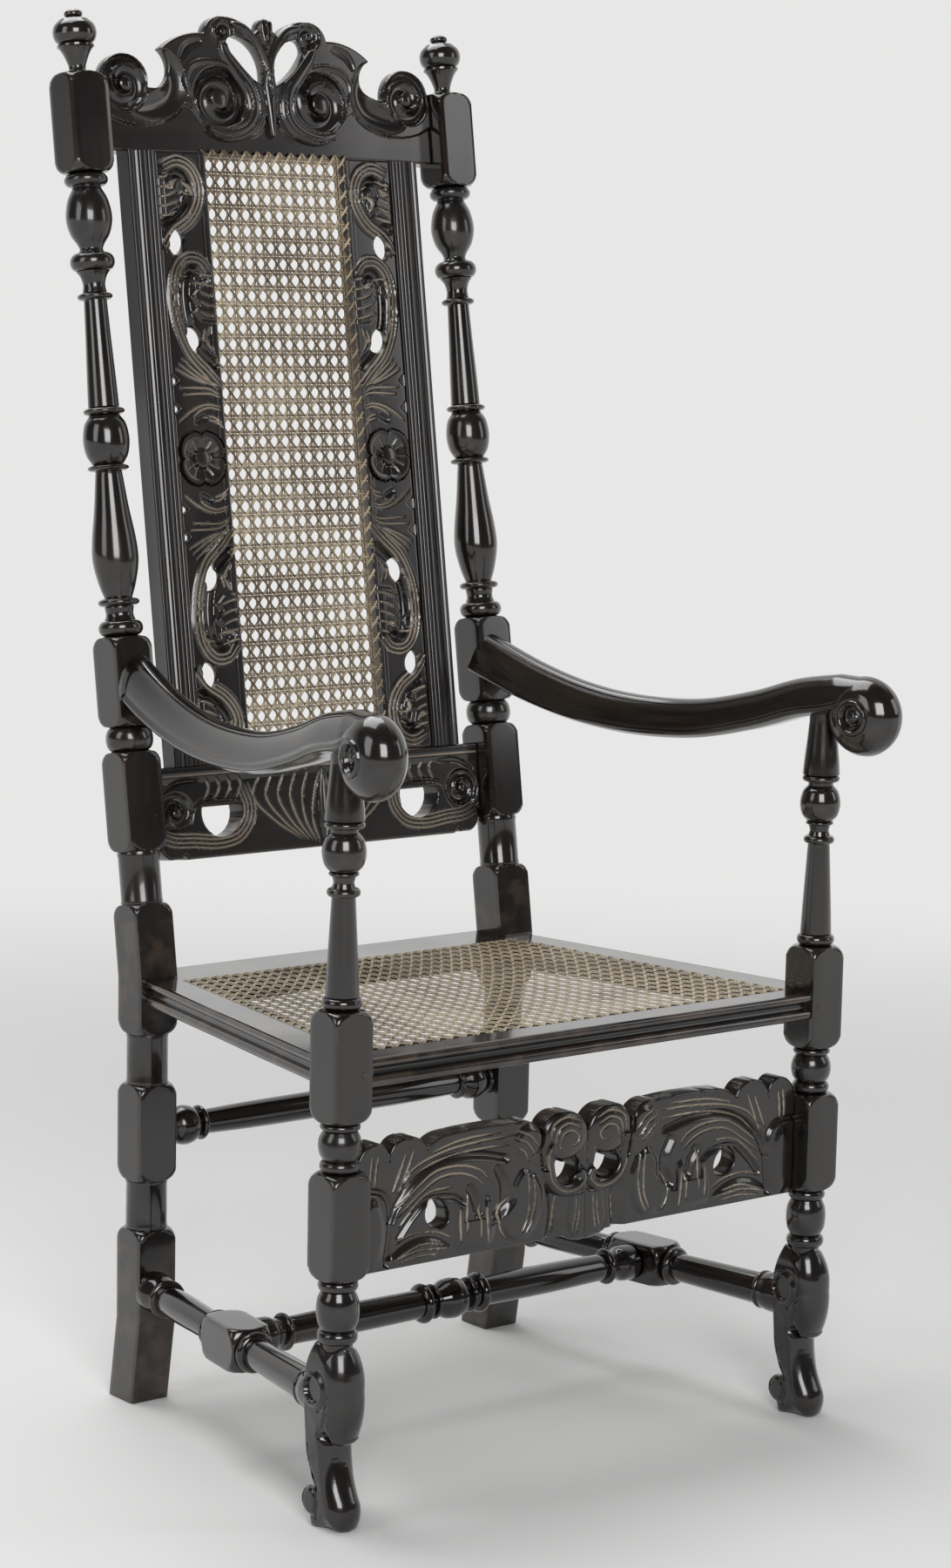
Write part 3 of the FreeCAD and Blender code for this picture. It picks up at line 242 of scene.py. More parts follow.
def make_grain():
    inputs = [("Stretch", "Vector", (1, 1, 1)), ("Scale", "Float", 1.0)]
    tree, given, out = new_group("grain", inputs, ("Streak", "Pore", "Cloud"))
    place = object_place(tree)
    stretched = math_node(tree, "MULTIPLY", place, given["Stretch"], "VectorMath")
    for name, (scale, detail) in GRAIN_NOISE.items():
        scaled = math_node(tree, "MULTIPLY", given["Scale"], scale)
        tree.links.new(noise(tree, stretched, scaled, detail), out[name])
    tree.links.new(noise(tree, place, *CLOUD_NOISE), out["Cloud"])
    return tree


GRAIN = make_grain()
print("group", GRAIN.name)

# %% [markdown]
# Hands and dusters rub the arrises bright and leave dark wax in the hollows. The pointiness of the mesh
# tells edge from hollow, and noise breaks the edge up so that the wear isn't a drawn line.

# %% Group: edge wear
ARRIS_RANGE = (0.52, 0.60)
HOLLOW_RANGE = (0.48, 0.40)
PATCH_NOISE = (45.0, 3.0)
PATCH_RANGE = (0.42, 0.66)


def make_wear():
    tree, given, out = new_group("edge_wear", [("Amount", "Float", 0.5)], ("Edge", "Hollow"))
    point = add_node(tree, "ShaderNodeNewGeometry").outputs["Pointiness"]
    patch = ramp(tree, noise(tree, object_place(tree), *PATCH_NOISE), *PATCH_RANGE)
    broken = math_node(tree, "MULTIPLY", ramp(tree, point, *ARRIS_RANGE), patch)
    tree.links.new(math_node(tree, "MULTIPLY", broken, given["Amount"]), out["Edge"])
    tree.links.new(ramp(tree, point, *HOLLOW_RANGE), out["Hollow"])
    return tree


WEAR = make_wear()
print("group", WEAR.name)

# %% [markdown]
# The wood is nearly black under many coats of polish. One maker function gives every wooden finish: only
# the direction of the grain, the wear and the depth of the polish differ. On carved pieces the gouge lines
# are painted tan: partly wood where the polish has worn out of the cuts, partly a painted highlight along
# them.

# %% Wood finishes
BLACK_BROWN = (0.0052, 0.0036, 0.0029, 1)
WARM_BROWN = (0.0125, 0.0077, 0.0051, 1)
RUBBED_BROWN = (0.08, 0.050, 0.032, 1)
WAX_BLACK = (0.0028, 0.0021, 0.0018, 1)
GOUGE_TAN_AND_HIGHLIGHT = (0.33, 0.28, 0.22, 1)
POLISH = {"Coat Weight": 0.7, "Coat Roughness": 0.08}
CLOUDY_ROUGH = 0.12
HOLLOW_ROUGH = 0.2


def wood_finish(name, stretch, wear, gloss, gouge=False):
    material, tree, surface = new_material(name)
    grain = place_group(tree, GRAIN, Stretch=stretch)
    rubbed = place_group(tree, WEAR, Amount=wear)
    streaked = mix_colour(tree, ramp(tree, grain["Streak"], 0.42, 0.68), BLACK_BROWN, WARM_BROWN)
    waxed = mix_colour(tree, rubbed["Hollow"], streaked, WAX_BLACK)
    colour = mix_colour(tree, rubbed["Edge"], waxed, RUBBED_BROWN)
    if gouge:
        # Fine gouge lines are painted tan: worn wood in the cuts, and a painted highlight along them.
        cut = ramp(tree, mesh_mask(tree, "gouged"), 0.12, 0.7)
        worn_and_highlit = math_node(tree, "MULTIPLY", cut, ramp(tree, grain["Cloud"], 0.3, 0.6, 0.4, 0.95))
        colour = mix_colour(tree, worn_and_highlit, colour, GOUGE_TAN_AND_HIGHLIGHT)
    tree.links.new(colour, surface["Base Color"])
    cloudy = ramp(tree, grain["Cloud"], 0.35, 0.7, gloss, gloss + CLOUDY_ROUGH)
    hollow = math_node(tree, "MULTIPLY", rubbed["Hollow"], HOLLOW_ROUGH)
    tree.links.new(math_node(tree, "ADD", cloudy, hollow), surface["Roughness"])
    for socket, value in POLISH.items():
        surface[socket].default_value = value
    pore_bump(tree, surface, grain["Pore"], 0.012, 0.0005)
    return material


POST_WOOD = wood_finish("post_wood", (1, 1, 0.06), 0.45, 0.15)
RAIL_WOOD = wood_finish("rail_wood", (0.06, 1, 1), 0.5, 0.12)
SIDE_WOOD = wood_finish("side_wood", (1, 0.06, 1), 0.5, 0.12)
STILE_WOOD = wood_finish("stile_wood", (1, 1, 0.05), 0.1, 0.24)
CARVED_WOOD = wood_finish("carved_wood", (0.08, 1, 1), 0.8, 0.2, gouge=True)
UPRIGHT_WOOD = wood_finish("upright_wood", (1, 1, 0.08), 0.8, 0.2, gouge=True)
woods = [material.name for material in bpy.data.materials if "wood" in material.name]
print("wood finishes:", ", ".join(woods))

# %% [markdown]
# A piece is a mesh in the frame's own coordinates. It rides on the chair's one body and hides the solid
# that it stands for. Most pieces come in pairs, so another helper makes the right one from rows of points
# and the left one as its mirror image.

# %% Helpers: a piece and a pair
SHARP = math.radians(38)


def piece(name, points, faces, finish, slot, *replaced, sharp=SHARP):
    """A mesh piece from points in millimetres and faces."""
    mesh = bpy.data.meshes.new(name)
    mesh.from_pydata((np.asarray(points, float) * MM).tolist(), [], [tuple(face) for face in faces])
    mesh.materials.append(finish)
    mesh.shade_smooth()
    mesh.set_sharp_from_angle(angle=sharp)
    item = into_scene(name, mesh)
    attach(item, "root")
    if replaced:
        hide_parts(*replaced)
    return item


def keep_mask(item, name, values):
    """Keep a value at each point of a mesh, for its finish to read."""
    mask = item.data.attributes.new(name, "FLOAT", "POINT")
    mask.data.foreach_set("value", np.asarray(values, np.float32))


def grid_faces(rows, columns):
    """Quads between neighbouring closed rows of points."""
    row, column = np.meshgrid(np.arange(rows - 1), np.arange(columns), indexing="ij")
    after = (column + 1) % columns
    low, high = row * columns, (row + 1) * columns
    corners = [low + column, low + after, high + after, high + column]
    return np.stack(corners, axis=-1).reshape(-1, 4).tolist()


def capped(rows):
    """Points and faces of closed rows, with a lid on each end."""
    count, sides = rows.shape[:2]
    lids = [list(range(sides))[::-1], list(range((count - 1) * sides, count * sides))]
    return rows.reshape(-1, 3), grid_faces(count, sides) + lids


def pair(name, rows, finish, node, **look):
    """The right and left piece from the rows of the right one. The braces in a name take the side."""
    for side, sign in SIDES_OF_CHAIR:
        hand = rows * (sign, 1, 1)
        points, faces = capped(hand if sign > 0 else hand[:, ::-1])
        piece(name.format(side), points, faces, finish, "dark_wood", node.format(side), **look)
    print(name.format("pair"), "rows", len(rows))


print("piece helpers ready")

# %% [markdown]
# ## Turned work
# A turner works from a profile: heights along the axis and the radius at each. Beads are half rounds,
# coves and vases are smooth curves, and a square block is a length where the lathe never reached the flat
# faces. So the mesh is a polar grid whose radius is the smaller of the turned profile and the square
# stock: the arched ends of the blocks then appear by themselves, just as they do on the lathe.

# %% Profiles of turned work
SIDES = 72
TURNS = np.arange(SIDES) * 2 * math.pi / SIDES
STOCK_POWER = 26
SHOULDER = 18
PAST_CORNER = 1.43


def bead(foot, top, core, radius, steps=10):
    """A half round between two heights."""
    turns = np.linspace(0, math.pi, steps + 1)
    middle, half = (foot + top) / 2, (top - foot) / 2
    return np.stack([middle - half * np.cos(turns), core + (radius - core) * np.sin(turns)], axis=1)


def smooth(*knots, steps=8):
    """A smooth curve through knots, as points."""
    knots = np.array(knots, float)
    ends = np.vstack([2 * knots[0] - knots[1], knots, 2 * knots[-1] - knots[-2]])
    share = np.linspace(0, 1, steps, endpoint=False)[:, None]
    spans = []
    for a, b, c, d in zip(ends, ends[1:], ends[2:], ends[3:]):
        square, cube = 2 * a - 5 * b + 4 * c - d, 3 * b - a - 3 * c + d
        spans.append(0.5 * (2 * b + (c - a) * share + square * share**2 + cube * share**3))
    return np.vstack(spans + [knots[-1:]])


def block(foot, top, half, neck, low=True, high=True, steps=9):
    """A square length: the profile swings out past the corners of the stock at its rounded shoulders."""
    corner = PAST_CORNER * half
    turns = np.linspace(0, math.pi / 2, steps + 1)
    rise = np.stack([SHOULDER * (1 - np.cos(turns)), neck + (corner - neck) * np.sin(turns)], axis=1)
    start = rise + (foot, 0) if low else (foot, corner)
    end = rise[::-1] * (-1, 1) + (top, 0) if high else (top, corner)
    return joined(start, end)


def joined(*parts):
    """One profile from beads, curves, blocks and single points."""
    return np.vstack([np.atleast_2d(np.array(part, float)) for part in parts])


def turning(profile, half=0, squares=()):
    """Rows about an upright axis: turned where the profile is small, square in the given lengths."""
    spread = np.abs(np.cos(TURNS)) ** STOCK_POWER + np.abs(np.sin(TURNS)) ** STOCK_POWER
    stock = half / spread ** (1 / STOCK_POWER)
    height, radius = (np.repeat(column[:, None], SIDES, axis=1) for column in profile.T)
    for foot, top in squares:
        inside = (profile[:, 0] >= foot - 1e-6) & (profile[:, 0] <= top + 1e-6)
        radius[inside] = np.minimum(radius[inside], stock)
    return np.stack([radius * np.cos(TURNS), radius * np.sin(TURNS), height], axis=-1)


print("turned profiles have", SIDES, "sides")

# %% [markdown]
# A rear post is one long stick: upright to the seat, then leaning back. Its rows are turned straight, and
# each row is then carried up the bent line of the post. The row at the bend lies on the mitre between the
# two.

# %% Rear posts
HEEL = 84
HEEL_KICK = 13
REAR_CORE = 20.5
REAR_SQUARES = [(-SEAT, -254), (-204, -107), (-56, 72), (124, 222), (247, 335), (789, 886)]


def bent(points):
    """Carry points of a straight rear post, with height counted from the seat, onto its bent line."""
    x, y, rise = np.moveaxis(points, -1, 0)
    upper = rise > 0
    kick = HEEL_KICK * np.clip((HEEL - SEAT - rise) / HEEL, 0, 1)
    z = np.where(upper, SEAT + rise * math.cos(RAKE) - y * math.sin(RAKE), SEAT + rise)
    z = np.where(np.abs(rise) < 1e-6, SEAT - y * math.tan(RAKE / 2), z)
    y = np.where(upper, y * math.cos(RAKE) + rise * math.sin(RAKE), y + kick)
    return np.stack([x + REAR_X, y + REAR_Y, z], axis=-1)


def rear_block(foot, top, **ends):
    return block(foot, top, REAR_HALF, REAR_CORE, **ends)


def rear_neck(foot, top):
    """A plain round length with a small flare at each end."""
    flare = REAR_CORE + 0.6
    return [(foot, flare), (foot + 2, REAR_CORE), (top - 2, REAR_CORE), (top, flare)]


REAR_LOWER = joined(
    (-SEAT, 1.5 * REAR_HALF), (HEEL - SEAT, 1.5 * REAR_HALF), rear_block(HEEL - SEAT, -254, low=False),
    rear_neck(-252, -206), rear_block(-204, -107), rear_neck(-105, -58), rear_block(-56, 0, high=False),
    rear_block(0, 72, low=False), (74, REAR_CORE + 0.6), (76, REAR_CORE),
    (118, REAR_CORE), (121, REAR_CORE + 0.8),
    rear_block(124, 222), bead(223, 246, 18, 23.5), rear_block(247, 335),
)
REAR_UPPER = joined(
    bead(336, 351, 16, 22), smooth((351, 15.5), (357, 13.6), (364, 14.5)), bead(365, 373, 14, 20.5),
    smooth((373.5, 13.8), (388, 18.6), (410, 22.7), (432, 21.6), (462, 17.2), (497, 13.2)),
    bead(497.5, 504, 13, 20.5), smooth((504.5, 15.5), (514, 20.8), (528, 22.9), (543, 20.8), (552, 15.5)),
    bead(552.5, 560, 13, 20.5), smooth((560.5, 15.4), (590, 14.3), (630, 12.6), (664, 11.4)),
    bead(665, 672, 11.5, 17.4), smooth((672.5, 12), (680, 11), (688, 13), (693, 16.5)),
    bead(693.5, 711, 15, 22), smooth((711.5, 13), (715, 11.5), (719, 13)),
    smooth((720, 13.5), (730, 19.6), (745, 22.8), (762, 20.2), (775, 14)), bead(775.5, 789, 14, 21.5),
    block(789, 886, REAR_HALF, 19),
)
FINIAL = joined(
    smooth((887, 11), (890, 8.6), (895, 9), (905, 13), (911, 16.8)), (911.5, 18.2), (913.5, 18.2),
    smooth((914, 15.5), (919, 20), (926, 21.6), (933, 19.8), (938.5, 14.5)),
    smooth((939, 8), (940.5, 7.2), (943, 9), (946, 8.6), (948, 5.5)),
)
rear_rows = bent(turning(joined(REAR_LOWER, REAR_UPPER, FINIAL), REAR_HALF, REAR_SQUARES))
pair("rear_post_{}_turned", rear_rows, POST_WOOD, "rear_post_{}")

# %% [markdown]
# A front post is turned from the scroll leg up to the arm. Its top stands in a hole under the arm. It is
# upright, so its rows only have to be moved to its place.

# %% Front posts
FRONT_CORE = 17
FRONT_SQUARES = [(231, 329), (375, 477)]
FRONT_PROFILE = joined(
    (160, 14), bead(172, 184, 14.5, 18.6),
    smooth((184.5, 15.5), (192, 18.8), (203, 19.8), (213, 18.6), (220, 15.5)),
    bead(220.5, 230.5, 14.5, 18.4), block(231, 329, FRONT_HALF, FRONT_CORE), bead(329.5, 340, 14.5, 18.4),
    smooth((340.5, 15.5), (346, 18.6), (353.5, 19.8), (361, 18.6), (367, 15.5)),
    bead(367.5, 374.5, 14.5, 18.4),
    block(375, 477, FRONT_HALF, FRONT_CORE), bead(478, 488, 14.5, 18.6),
    smooth((489, 15.4), (515, 14.2), (550, 12.3), (577.5, 10.8)), bead(578, 586, 10.8, 15.2),
    smooth((586.5, 10.6), (591, 9.4), (596, 10.6)), bead(596.5, 600.5, 10.5, 13.6),
    smooth((601, 13), (607, 17.8), (618, 19.9), (629, 17.6), (635, 13)), (635.5, 12.2), (638.5, 12.2),
    bead(639, 646, 14, 18.4), smooth((646.5, 18.2), (660, 17.2), (680, 15), (698, 13.2)), (722, 13),
)
front_rows = turning(FRONT_PROFILE, FRONT_HALF, FRONT_SQUARES) + (FRONT_X, FRONT_Y, 0)
pair("front_post_{}_turned", front_rows, POST_WOOD, "front_post_{}")

# %% [markdown]
# The stretchers lie down, so their rows are turned upright in the same way and then laid along a line
# from one post to the other. The side ones run from the rear post to the leg, with a ringed square block
# in the middle.

# %% Side stretchers
SIDE_Z = 116
SIDE_LONG = math.hypot(FRONT_X - REAR_X, REAR_Y - FRONT_Y)
SIDE_HALF = 21
BLOCK_FOOT = SIDE_LONG / 2 - 35
BLOCK_TOP = SIDE_LONG / 2 + 35


def laid(rows, start, end):
    """Lay upright rows along a level line between two points: height runs from the start to the end."""
    start, end = np.array(start, float), np.array(end, float)
    along = (end - start) / np.linalg.norm(end - start)
    up = np.array([0, 0, 1.0])
    x, y, height = (part[..., None] for part in np.moveaxis(rows, -1, 0))
    return start + height * along + x * np.cross(up, along) + y * up


SIDE_PROFILE = joined(
    (10, 14), smooth((21, 20.4), (30, 19.2), (40, 15), (47, 13.6)), bead(48, 54, 14, 19.4),
    smooth((54.5, 14.2), (90, 15.4), (BLOCK_FOOT - 13, 14.4)),
    bead(BLOCK_FOOT - 11, BLOCK_FOOT - 1, 14, 20),
    block(BLOCK_FOOT, BLOCK_TOP, SIDE_HALF, 17), bead(BLOCK_TOP + 1, BLOCK_TOP + 11, 14, 20),
    smooth((BLOCK_TOP + 13, 14.4), (SIDE_LONG - 90, 15.6), (SIDE_LONG - 54, 16.2)),
    bead(SIDE_LONG - 53, SIDE_LONG - 46, 15, 19.4),
    smooth((SIDE_LONG - 45.5, 18.6), (SIDE_LONG - 36, 20.2), (SIDE_LONG - 22, 20.4)), (SIDE_LONG - 12, 14),
)
side_rows = turning(SIDE_PROFILE, SIDE_HALF, [(BLOCK_FOOT, BLOCK_TOP)])
side_rows = laid(side_rows, (REAR_X, REAR_Y, SIDE_Z), (FRONT_X, FRONT_Y, SIDE_Z))
pair("side_stretcher_{}_turned", side_rows, SIDE_WOOD, "side_stretcher_{}")

# %% [markdown]
# The other two stretchers run the same both ways from their middle, so only half of each profile is
# written down.

# %% Stretchers across the chair
REAR_STRETCHER_Z = 276
MEDIAL_HALF = joined(
    (0, 20.4), smooth((2, 20.4), (9, 19), (16, 15), (19, 13.5)), bead(20, 25, 13, 17.5), (26, 13), (29, 13),
    bead(30, 40, 13.5, 20), smooth((41, 14.4), (120, 15), (198, 13.6)), bead(199, 206, 13, 18.5),
    smooth((207, 13.5), (214, 15), (222, 18), (236, 18.6)),
)
REAR_STRETCHER_HALF = joined(
    (0, 14.2), smooth((20, 14.2), (100, 13.8), (158, 12.4)), bead(160, 167, 12.5, 17.5),
    smooth((168, 13.5), (175, 18.4), (183, 20), (191, 18.4), (198, 13.6)), bead(198.5, 206, 13, 17),
)
for name, half, y, z in (
    ("medial_stretcher", MEDIAL_HALF, (FRONT_Y + REAR_Y) / 2, SIDE_Z),
    ("rear_stretcher", REAR_STRETCHER_HALF, REAR_Y, REAR_STRETCHER_Z),
):
    whole = joined(half[::-1] * (-1, 1), half[1:])
    points, faces = capped(laid(turning(whole), (0, y, z), (1, y, z)))
    piece(f"{name}_turned", points, faces, RAIL_WOOD, "dark_wood", name)
    print(name, "faces", len(faces))

# %% [markdown]
# ## Solids that keep their shape
# The flat seat rails and the pegs are already right as solids, so they only get a finish.

# %% Finish the plain solids
KEPT = {
    "seat_rail_front": RAIL_WOOD, "seat_rail_back": RAIL_WOOD, "seat_rail_left": SIDE_WOOD,
    "seat_rail_right": SIDE_WOOD, "joint_pegs": SIDE_WOOD,
}
for name, finish in KEPT.items():
    item = nodes[name]
    item.data.materials.clear()
    item.data.materials.append(finish)
print("kept solids:", ", ".join(KEPT))

# %% [markdown]
# ## Carved work
# A carver starts from a board sawn to an outline and pierced with a fretsaw, then sinks hollows and cuts
# gouge lines into its face. The same order is kept here: outlines are drawn with lines and arcs, a fine
# grid covers the board, and every cut of the gouge changes the height of the grid.

# %% Outlines


def arc(start, via, end, steps=14):
    """Points on the circle through three points, without the last one."""
    (ax, ay), (bx, by), (cx, cy) = start, via, end
    twice = 2 * (ax * (by - cy) + bx * (cy - ay) + cx * (ay - by))
    squares = (ax * ax + ay * ay, bx * bx + by * by, cx * cx + cy * cy)
    x = (squares[0] * (by - cy) + squares[1] * (cy - ay) + squares[2] * (ay - by)) / twice
    y = (squares[0] * (cx - bx) + squares[1] * (ax - cx) + squares[2] * (bx - ax)) / twice
    first, middle, last = (math.atan2(b - y, a - x) for a, b in (start, via, end))
    turn = (last - first) % (2 * math.pi)
    if (middle - first) % (2 * math.pi) > turn:
        turn -= 2 * math.pi
    angles = first + turn * np.arange(steps) / steps
    return (x, y) + math.hypot(ax - x, ay - y) * np.stack([np.cos(angles), np.sin(angles)], axis=1)


def edge(*corners, closed=False):
    """A line through corners. A corner with four numbers starts an arc through its second pair."""
    spans = []
    for corner, after in zip(corners, corners[1:] + corners[:1] if closed else corners[1:]):
        spans.append(arc(corner[:2], corner[2:], after[:2]) if len(corner) == 4 else [corner])
    if not closed:
        spans.append([corners[-1]])
    return np.vstack(spans)


def both_halves(line):
    """A closed outline from its right half."""
    return np.vstack([line, line[::-1] * (-1, 1)])


def two_holes(*corners):
    """A hole in the right half of a board, and its mirror image."""
    loop = edge(*corners, closed=True)
    return [loop, loop[::-1] * (-1, 1)]


def oval(x, y, wide, tall, steps=28):
    turns = np.arange(steps) * 2 * math.pi / steps
    return np.stack([x + wide / 2 * np.cos(turns), y + tall / 2 * np.sin(turns)], axis=1)


def heading(line):
    """The direction of a line at each of its points."""
    ahead = np.gradient(line, axis=0)
    return ahead / np.maximum(np.linalg.norm(ahead, axis=1, keepdims=True), 1e-9)


def offset(line, shift):
    """A line moved sideways, to its left."""
    return line + shift * heading(line)[:, ::-1] * (-1, 1)


print("outline helpers ready")

# %% [markdown]
# Every cut asks the same two questions: how far is a point of the board from a line, and where along the
# line is the nearest place? Two small curves answer how the wood falls away: one that eases in and out,
# and one that is a quarter of a circle, like an arris rounded with a scraper.

# %% Distances and soft curves
AT_ONCE = 3000


def unit(share):
    return np.clip(share, 0, 1)


def soft(share):
    """From 0 to 1 with a soft start and end."""
    share = unit(share)
    return share * share * (3 - 2 * share)


def rounded(distance, ease):
    """How far a rounded arris has fallen away at a distance from the edge."""
    return ease * (1 - np.sqrt(1 - (1 - unit(distance / ease)) ** 2))


def nearest_span(points, starts, run):
    """For each point: the nearest straight span, the share along it and the distance to it."""
    points = points[:, None]
    share = unit(((points - starts) * run).sum(axis=2) / np.maximum((run**2).sum(axis=1), 1e-9))
    gap = ((points - starts - share[..., None] * run) ** 2).sum(axis=2)
    best = gap.argmin(axis=1)
    chosen = np.arange(len(best))
    return best, share[chosen, best], np.sqrt(gap[chosen, best])


def to_outlines(x, z, loops):
    """For points on the board: inside the outlines or not, their distance and the nearest place."""
    starts = np.vstack(loops)
    ends = np.vstack([np.roll(loop, -1, axis=0) for loop in loops])
    inside = np.zeros(len(x), bool)
    for (ax, az), (bx, bz) in zip(starts, ends):
        if az != bz:
            inside ^= ((az > z) != (bz > z)) & (x < ax + (z - az) * (bx - ax) / (bz - az))
    points, run = np.stack([x, z], axis=1), ends - starts
    distance, nearest = np.empty(len(x)), np.empty((len(x), 2))
    for first in range(0, len(x), AT_ONCE):
        part = slice(first, first + AT_ONCE)
        best, share, distance[part] = nearest_span(points[part], starts, run)
        nearest[part] = starts[best] + share[:, None] * run[best]
    return inside, distance, nearest


print("distances ready")

# %% [markdown]
# The grid knows how far each of its points lies from the nearest edge, so arrises can be eased and the
# points that fall just outside can be pulled back onto the outline. Cuts are strokes along smooth curves:
# a groove takes wood away, a ridge leaves it standing, a spiral is one hollow wound round a centre.

# %% The carver's grid
CELL = 0.95
FINE_GOUGE = 2.0
LEAST_GROOVE = 0.3
LEAST_RIDGE = 0.2
SPIRAL_ROUND = 0.7
SPIRAL_EDGE = 3.0
EYE_SUNK = 0.6


class Relief:
    """A board under the gouge: a grid inside outlines, with a height at each point."""

    def __init__(self, loops, cell=CELL, fold=None):
        cell = cell
        every = np.vstack(loops)
        low, high = every.min(axis=0) - cell, every.max(axis=0) + cell
        counts = np.ceil((high - low) / cell).astype(int) + 1
        self.shape = counts[::-1]
        x, z = np.meshgrid(*(start + cell * np.arange(count) for start, count in zip(low, counts)))
        x, z = x.ravel(), z.ravel()
        self.inside, distance, nearest = to_outlines(x, z, loops)
        self.depth_in = np.where(self.inside, distance, 0.0)
        self.x, self.z = np.where(self.inside, (x, z), nearest.T)
        self.u, self.v = fold(self.x, self.z) if fold else (self.x, self.z)
        self.height = np.zeros(len(x))
        self.gouged = np.zeros(len(x))

    def plateau(self, loop, rise, edge_width):
        """Raise or lower the ground inside a loop, with a soft edge."""
        inside, distance, _ = to_outlines(self.u, self.v, [loop])
        self.height += rise * soft(np.where(inside, distance, 0) / edge_width)

    def stroke(self, line, reach, blunt=0.0):
        """The grid points near a line: their numbers, distance to it and how strong the stroke is there."""
        line = smooth(*line) if isinstance(line, list) else line
        low, high = line.min(axis=0) - reach, line.max(axis=0) + reach
        near = (self.u > low[0]) & (self.u < high[0]) & (self.v > low[1]) & (self.v < high[1])
        near = np.flatnonzero(near)
        run = np.diff(line, axis=0)
        best, share, gap = nearest_span(np.stack([self.u[near], self.v[near]], axis=1), line[:-1], run)
        length = np.linalg.norm(run, axis=1)
        before = np.concatenate([[0], np.cumsum(length)])
        travelled = (before[best] + share * length[best]) / before[-1]
        return near, gap, unit(np.sin(math.pi * travelled)) ** blunt

    def groove(self, line, width, depth, blunt=0.25):
        """A gouge line, narrower and shallower towards its ends."""
        near, gap, strength = self.stroke(line, width, blunt)
        share = unit(1 - (gap / (width * np.maximum(strength, LEAST_GROOVE))) ** 2)
        self.height[near] -= depth * strength * share
        # Fine cuts are marked for the tan of worn wood and painted highlight.
        if width < FINE_GOUGE:
            self.gouged[near] = np.maximum(self.gouged[near], share * strength)

    def grooves(self, width, depth, *lines):
        """Gouge lines of one width and depth."""
        for line in lines:
            self.groove(line, width, depth)

    def ridge(self, line, width, rise, ground=0.0, blunt=0.2):
        """A rounded ridge left standing along a line."""
        near, gap, strength = self.stroke(line, width, blunt)
        reach = width * np.maximum(strength, LEAST_RIDGE)
        crown = ground + rise * np.sqrt(unit(1 - (gap / reach) ** 2))
        self.height[near] = np.where(gap < reach, np.maximum(self.height[near], crown), self.height[near])

    def sink(self, line, width, depth):
        """Lower the ground softly along a line."""
        near, gap, _ = self.stroke(line, width)
        self.height[near] = np.minimum(self.height[near], -depth * soft(1 - gap / width))

    def spiral(self, x, z, radius, pitch, start, hand, depth, eye, eye_rise):
        """A hollow ribbon wound round a centre, with a domed eye."""
        across, up = self.u - x, self.v - z
        gap = np.hypot(across, up)
        turn = hand * (np.arctan2(up, across) - start) / (2 * math.pi)
        hollow = -depth * np.sin(math.pi * ((gap / pitch - turn) % 1.0)) ** SPIRAL_ROUND
        self.height += hollow * unit((radius - gap) / SPIRAL_EDGE) * (gap > eye)
        dome = eye_rise * np.sqrt(unit(1 - (gap / eye) ** 2))
        self.height = np.where(gap < eye, dome - EYE_SUNK, self.height)

    def dome(self, x, z, wide, tall, rise):
        """A rounded swelling on the ground that is there."""
        gap = ((self.u - x) / (wide / 2)) ** 2 + ((self.v - z) / (tall / 2)) ** 2
        self.height += rise * np.sqrt(unit(1 - gap))

    def eased(self, ease):
        """The height with its outer arrises rounded over."""
        return self.height - rounded(self.depth_in, ease)

    def mesh(self, front, back):
        """Points and faces from the front and back of every grid point, and how far each was gouged."""
        number = np.arange(len(self.x)).reshape(self.shape)
        quads = np.stack([number[:-1, :-1], number[:-1, 1:], number[1:, 1:], number[1:, :-1]], axis=-1)
        quads = quads.reshape(-1, 4)
        used, quads = np.unique(quads[self.inside[quads].any(axis=1)], return_inverse=True)
        quads, count = quads.reshape(-1, 4), len(used)
        starts, ends = quads.ravel(), np.roll(quads, -1, axis=1).ravel()
        rim = ~np.isin(starts * count + ends, ends * count + starts)
        starts, ends = starts[rim], ends[rim]
        walls = np.stack([ends, starts, starts + count, ends + count], axis=1)
        faces = np.vstack([quads, quads[:, ::-1] + count, walls])
        gouged = np.concatenate([self.gouged[used], np.zeros(count)])
        return np.vstack([front[used], back[used]]), faces.tolist(), gouged


print("carver's grid ready, one point every", CELL, "mm")

# %% [markdown]
# The carved boards of the back stand on the slope between the rear posts. Both halves of a board match,
# so the grid is folded about the middle and each cut is made once.

# %% Boards of the leaning back
HALF_BACK = 204.5
BACK_THICK = 26
BEVEL_WIDE = 15
BEVEL_FROM = 30


def folded(x, z):
    return np.abs(x), z


def carved_piece(name, carving, finish, node):
    """A piece from a carved mesh, with its gouge lines kept for the finish."""
    points, faces, gouged = carving
    keep_mask(piece(name, points, faces, finish, "carved_wood", node), "gouged", gouged)
    print(name, "faces", len(faces))


def lean(x, depth, rise):
    """A place on the leaning back: depth behind the post axis, rise up the slope from the seat."""
    y = REAR_Y + depth * math.cos(RAKE) + rise * math.sin(RAKE)
    return np.stack([x, y, SEAT - depth * math.sin(RAKE) + rise * math.cos(RAKE)], axis=-1)


def leaning_board(relief, foot, ease, bevel=0.0):
    """Front and back of a carved board of the chair back. The bevel thins the back towards every edge."""
    thinned = bevel * (1 - unit(relief.depth_in / BEVEL_WIDE)) ** 2
    thinned *= unit((relief.z - BEVEL_FROM) / BEVEL_WIDE)
    front = lean(relief.x, BACK_FACE - relief.eased(ease), foot + relief.z)
    back = lean(relief.x, BACK_FACE + BACK_THICK - thinned, foot + relief.z)
    return relief.mesh(front, back)


print("boards of the back are", 2 * HALF_BACK, "mm wide")

# %% [markdown]
# The crest is the showpiece. Two large C scrolls roll into volutes at their feet and into leaf curls at
# the top, smaller volutes close the ends, and a three-lobed bud stands on a forked stem between two
# teardrop holes.

# %% Crest rail


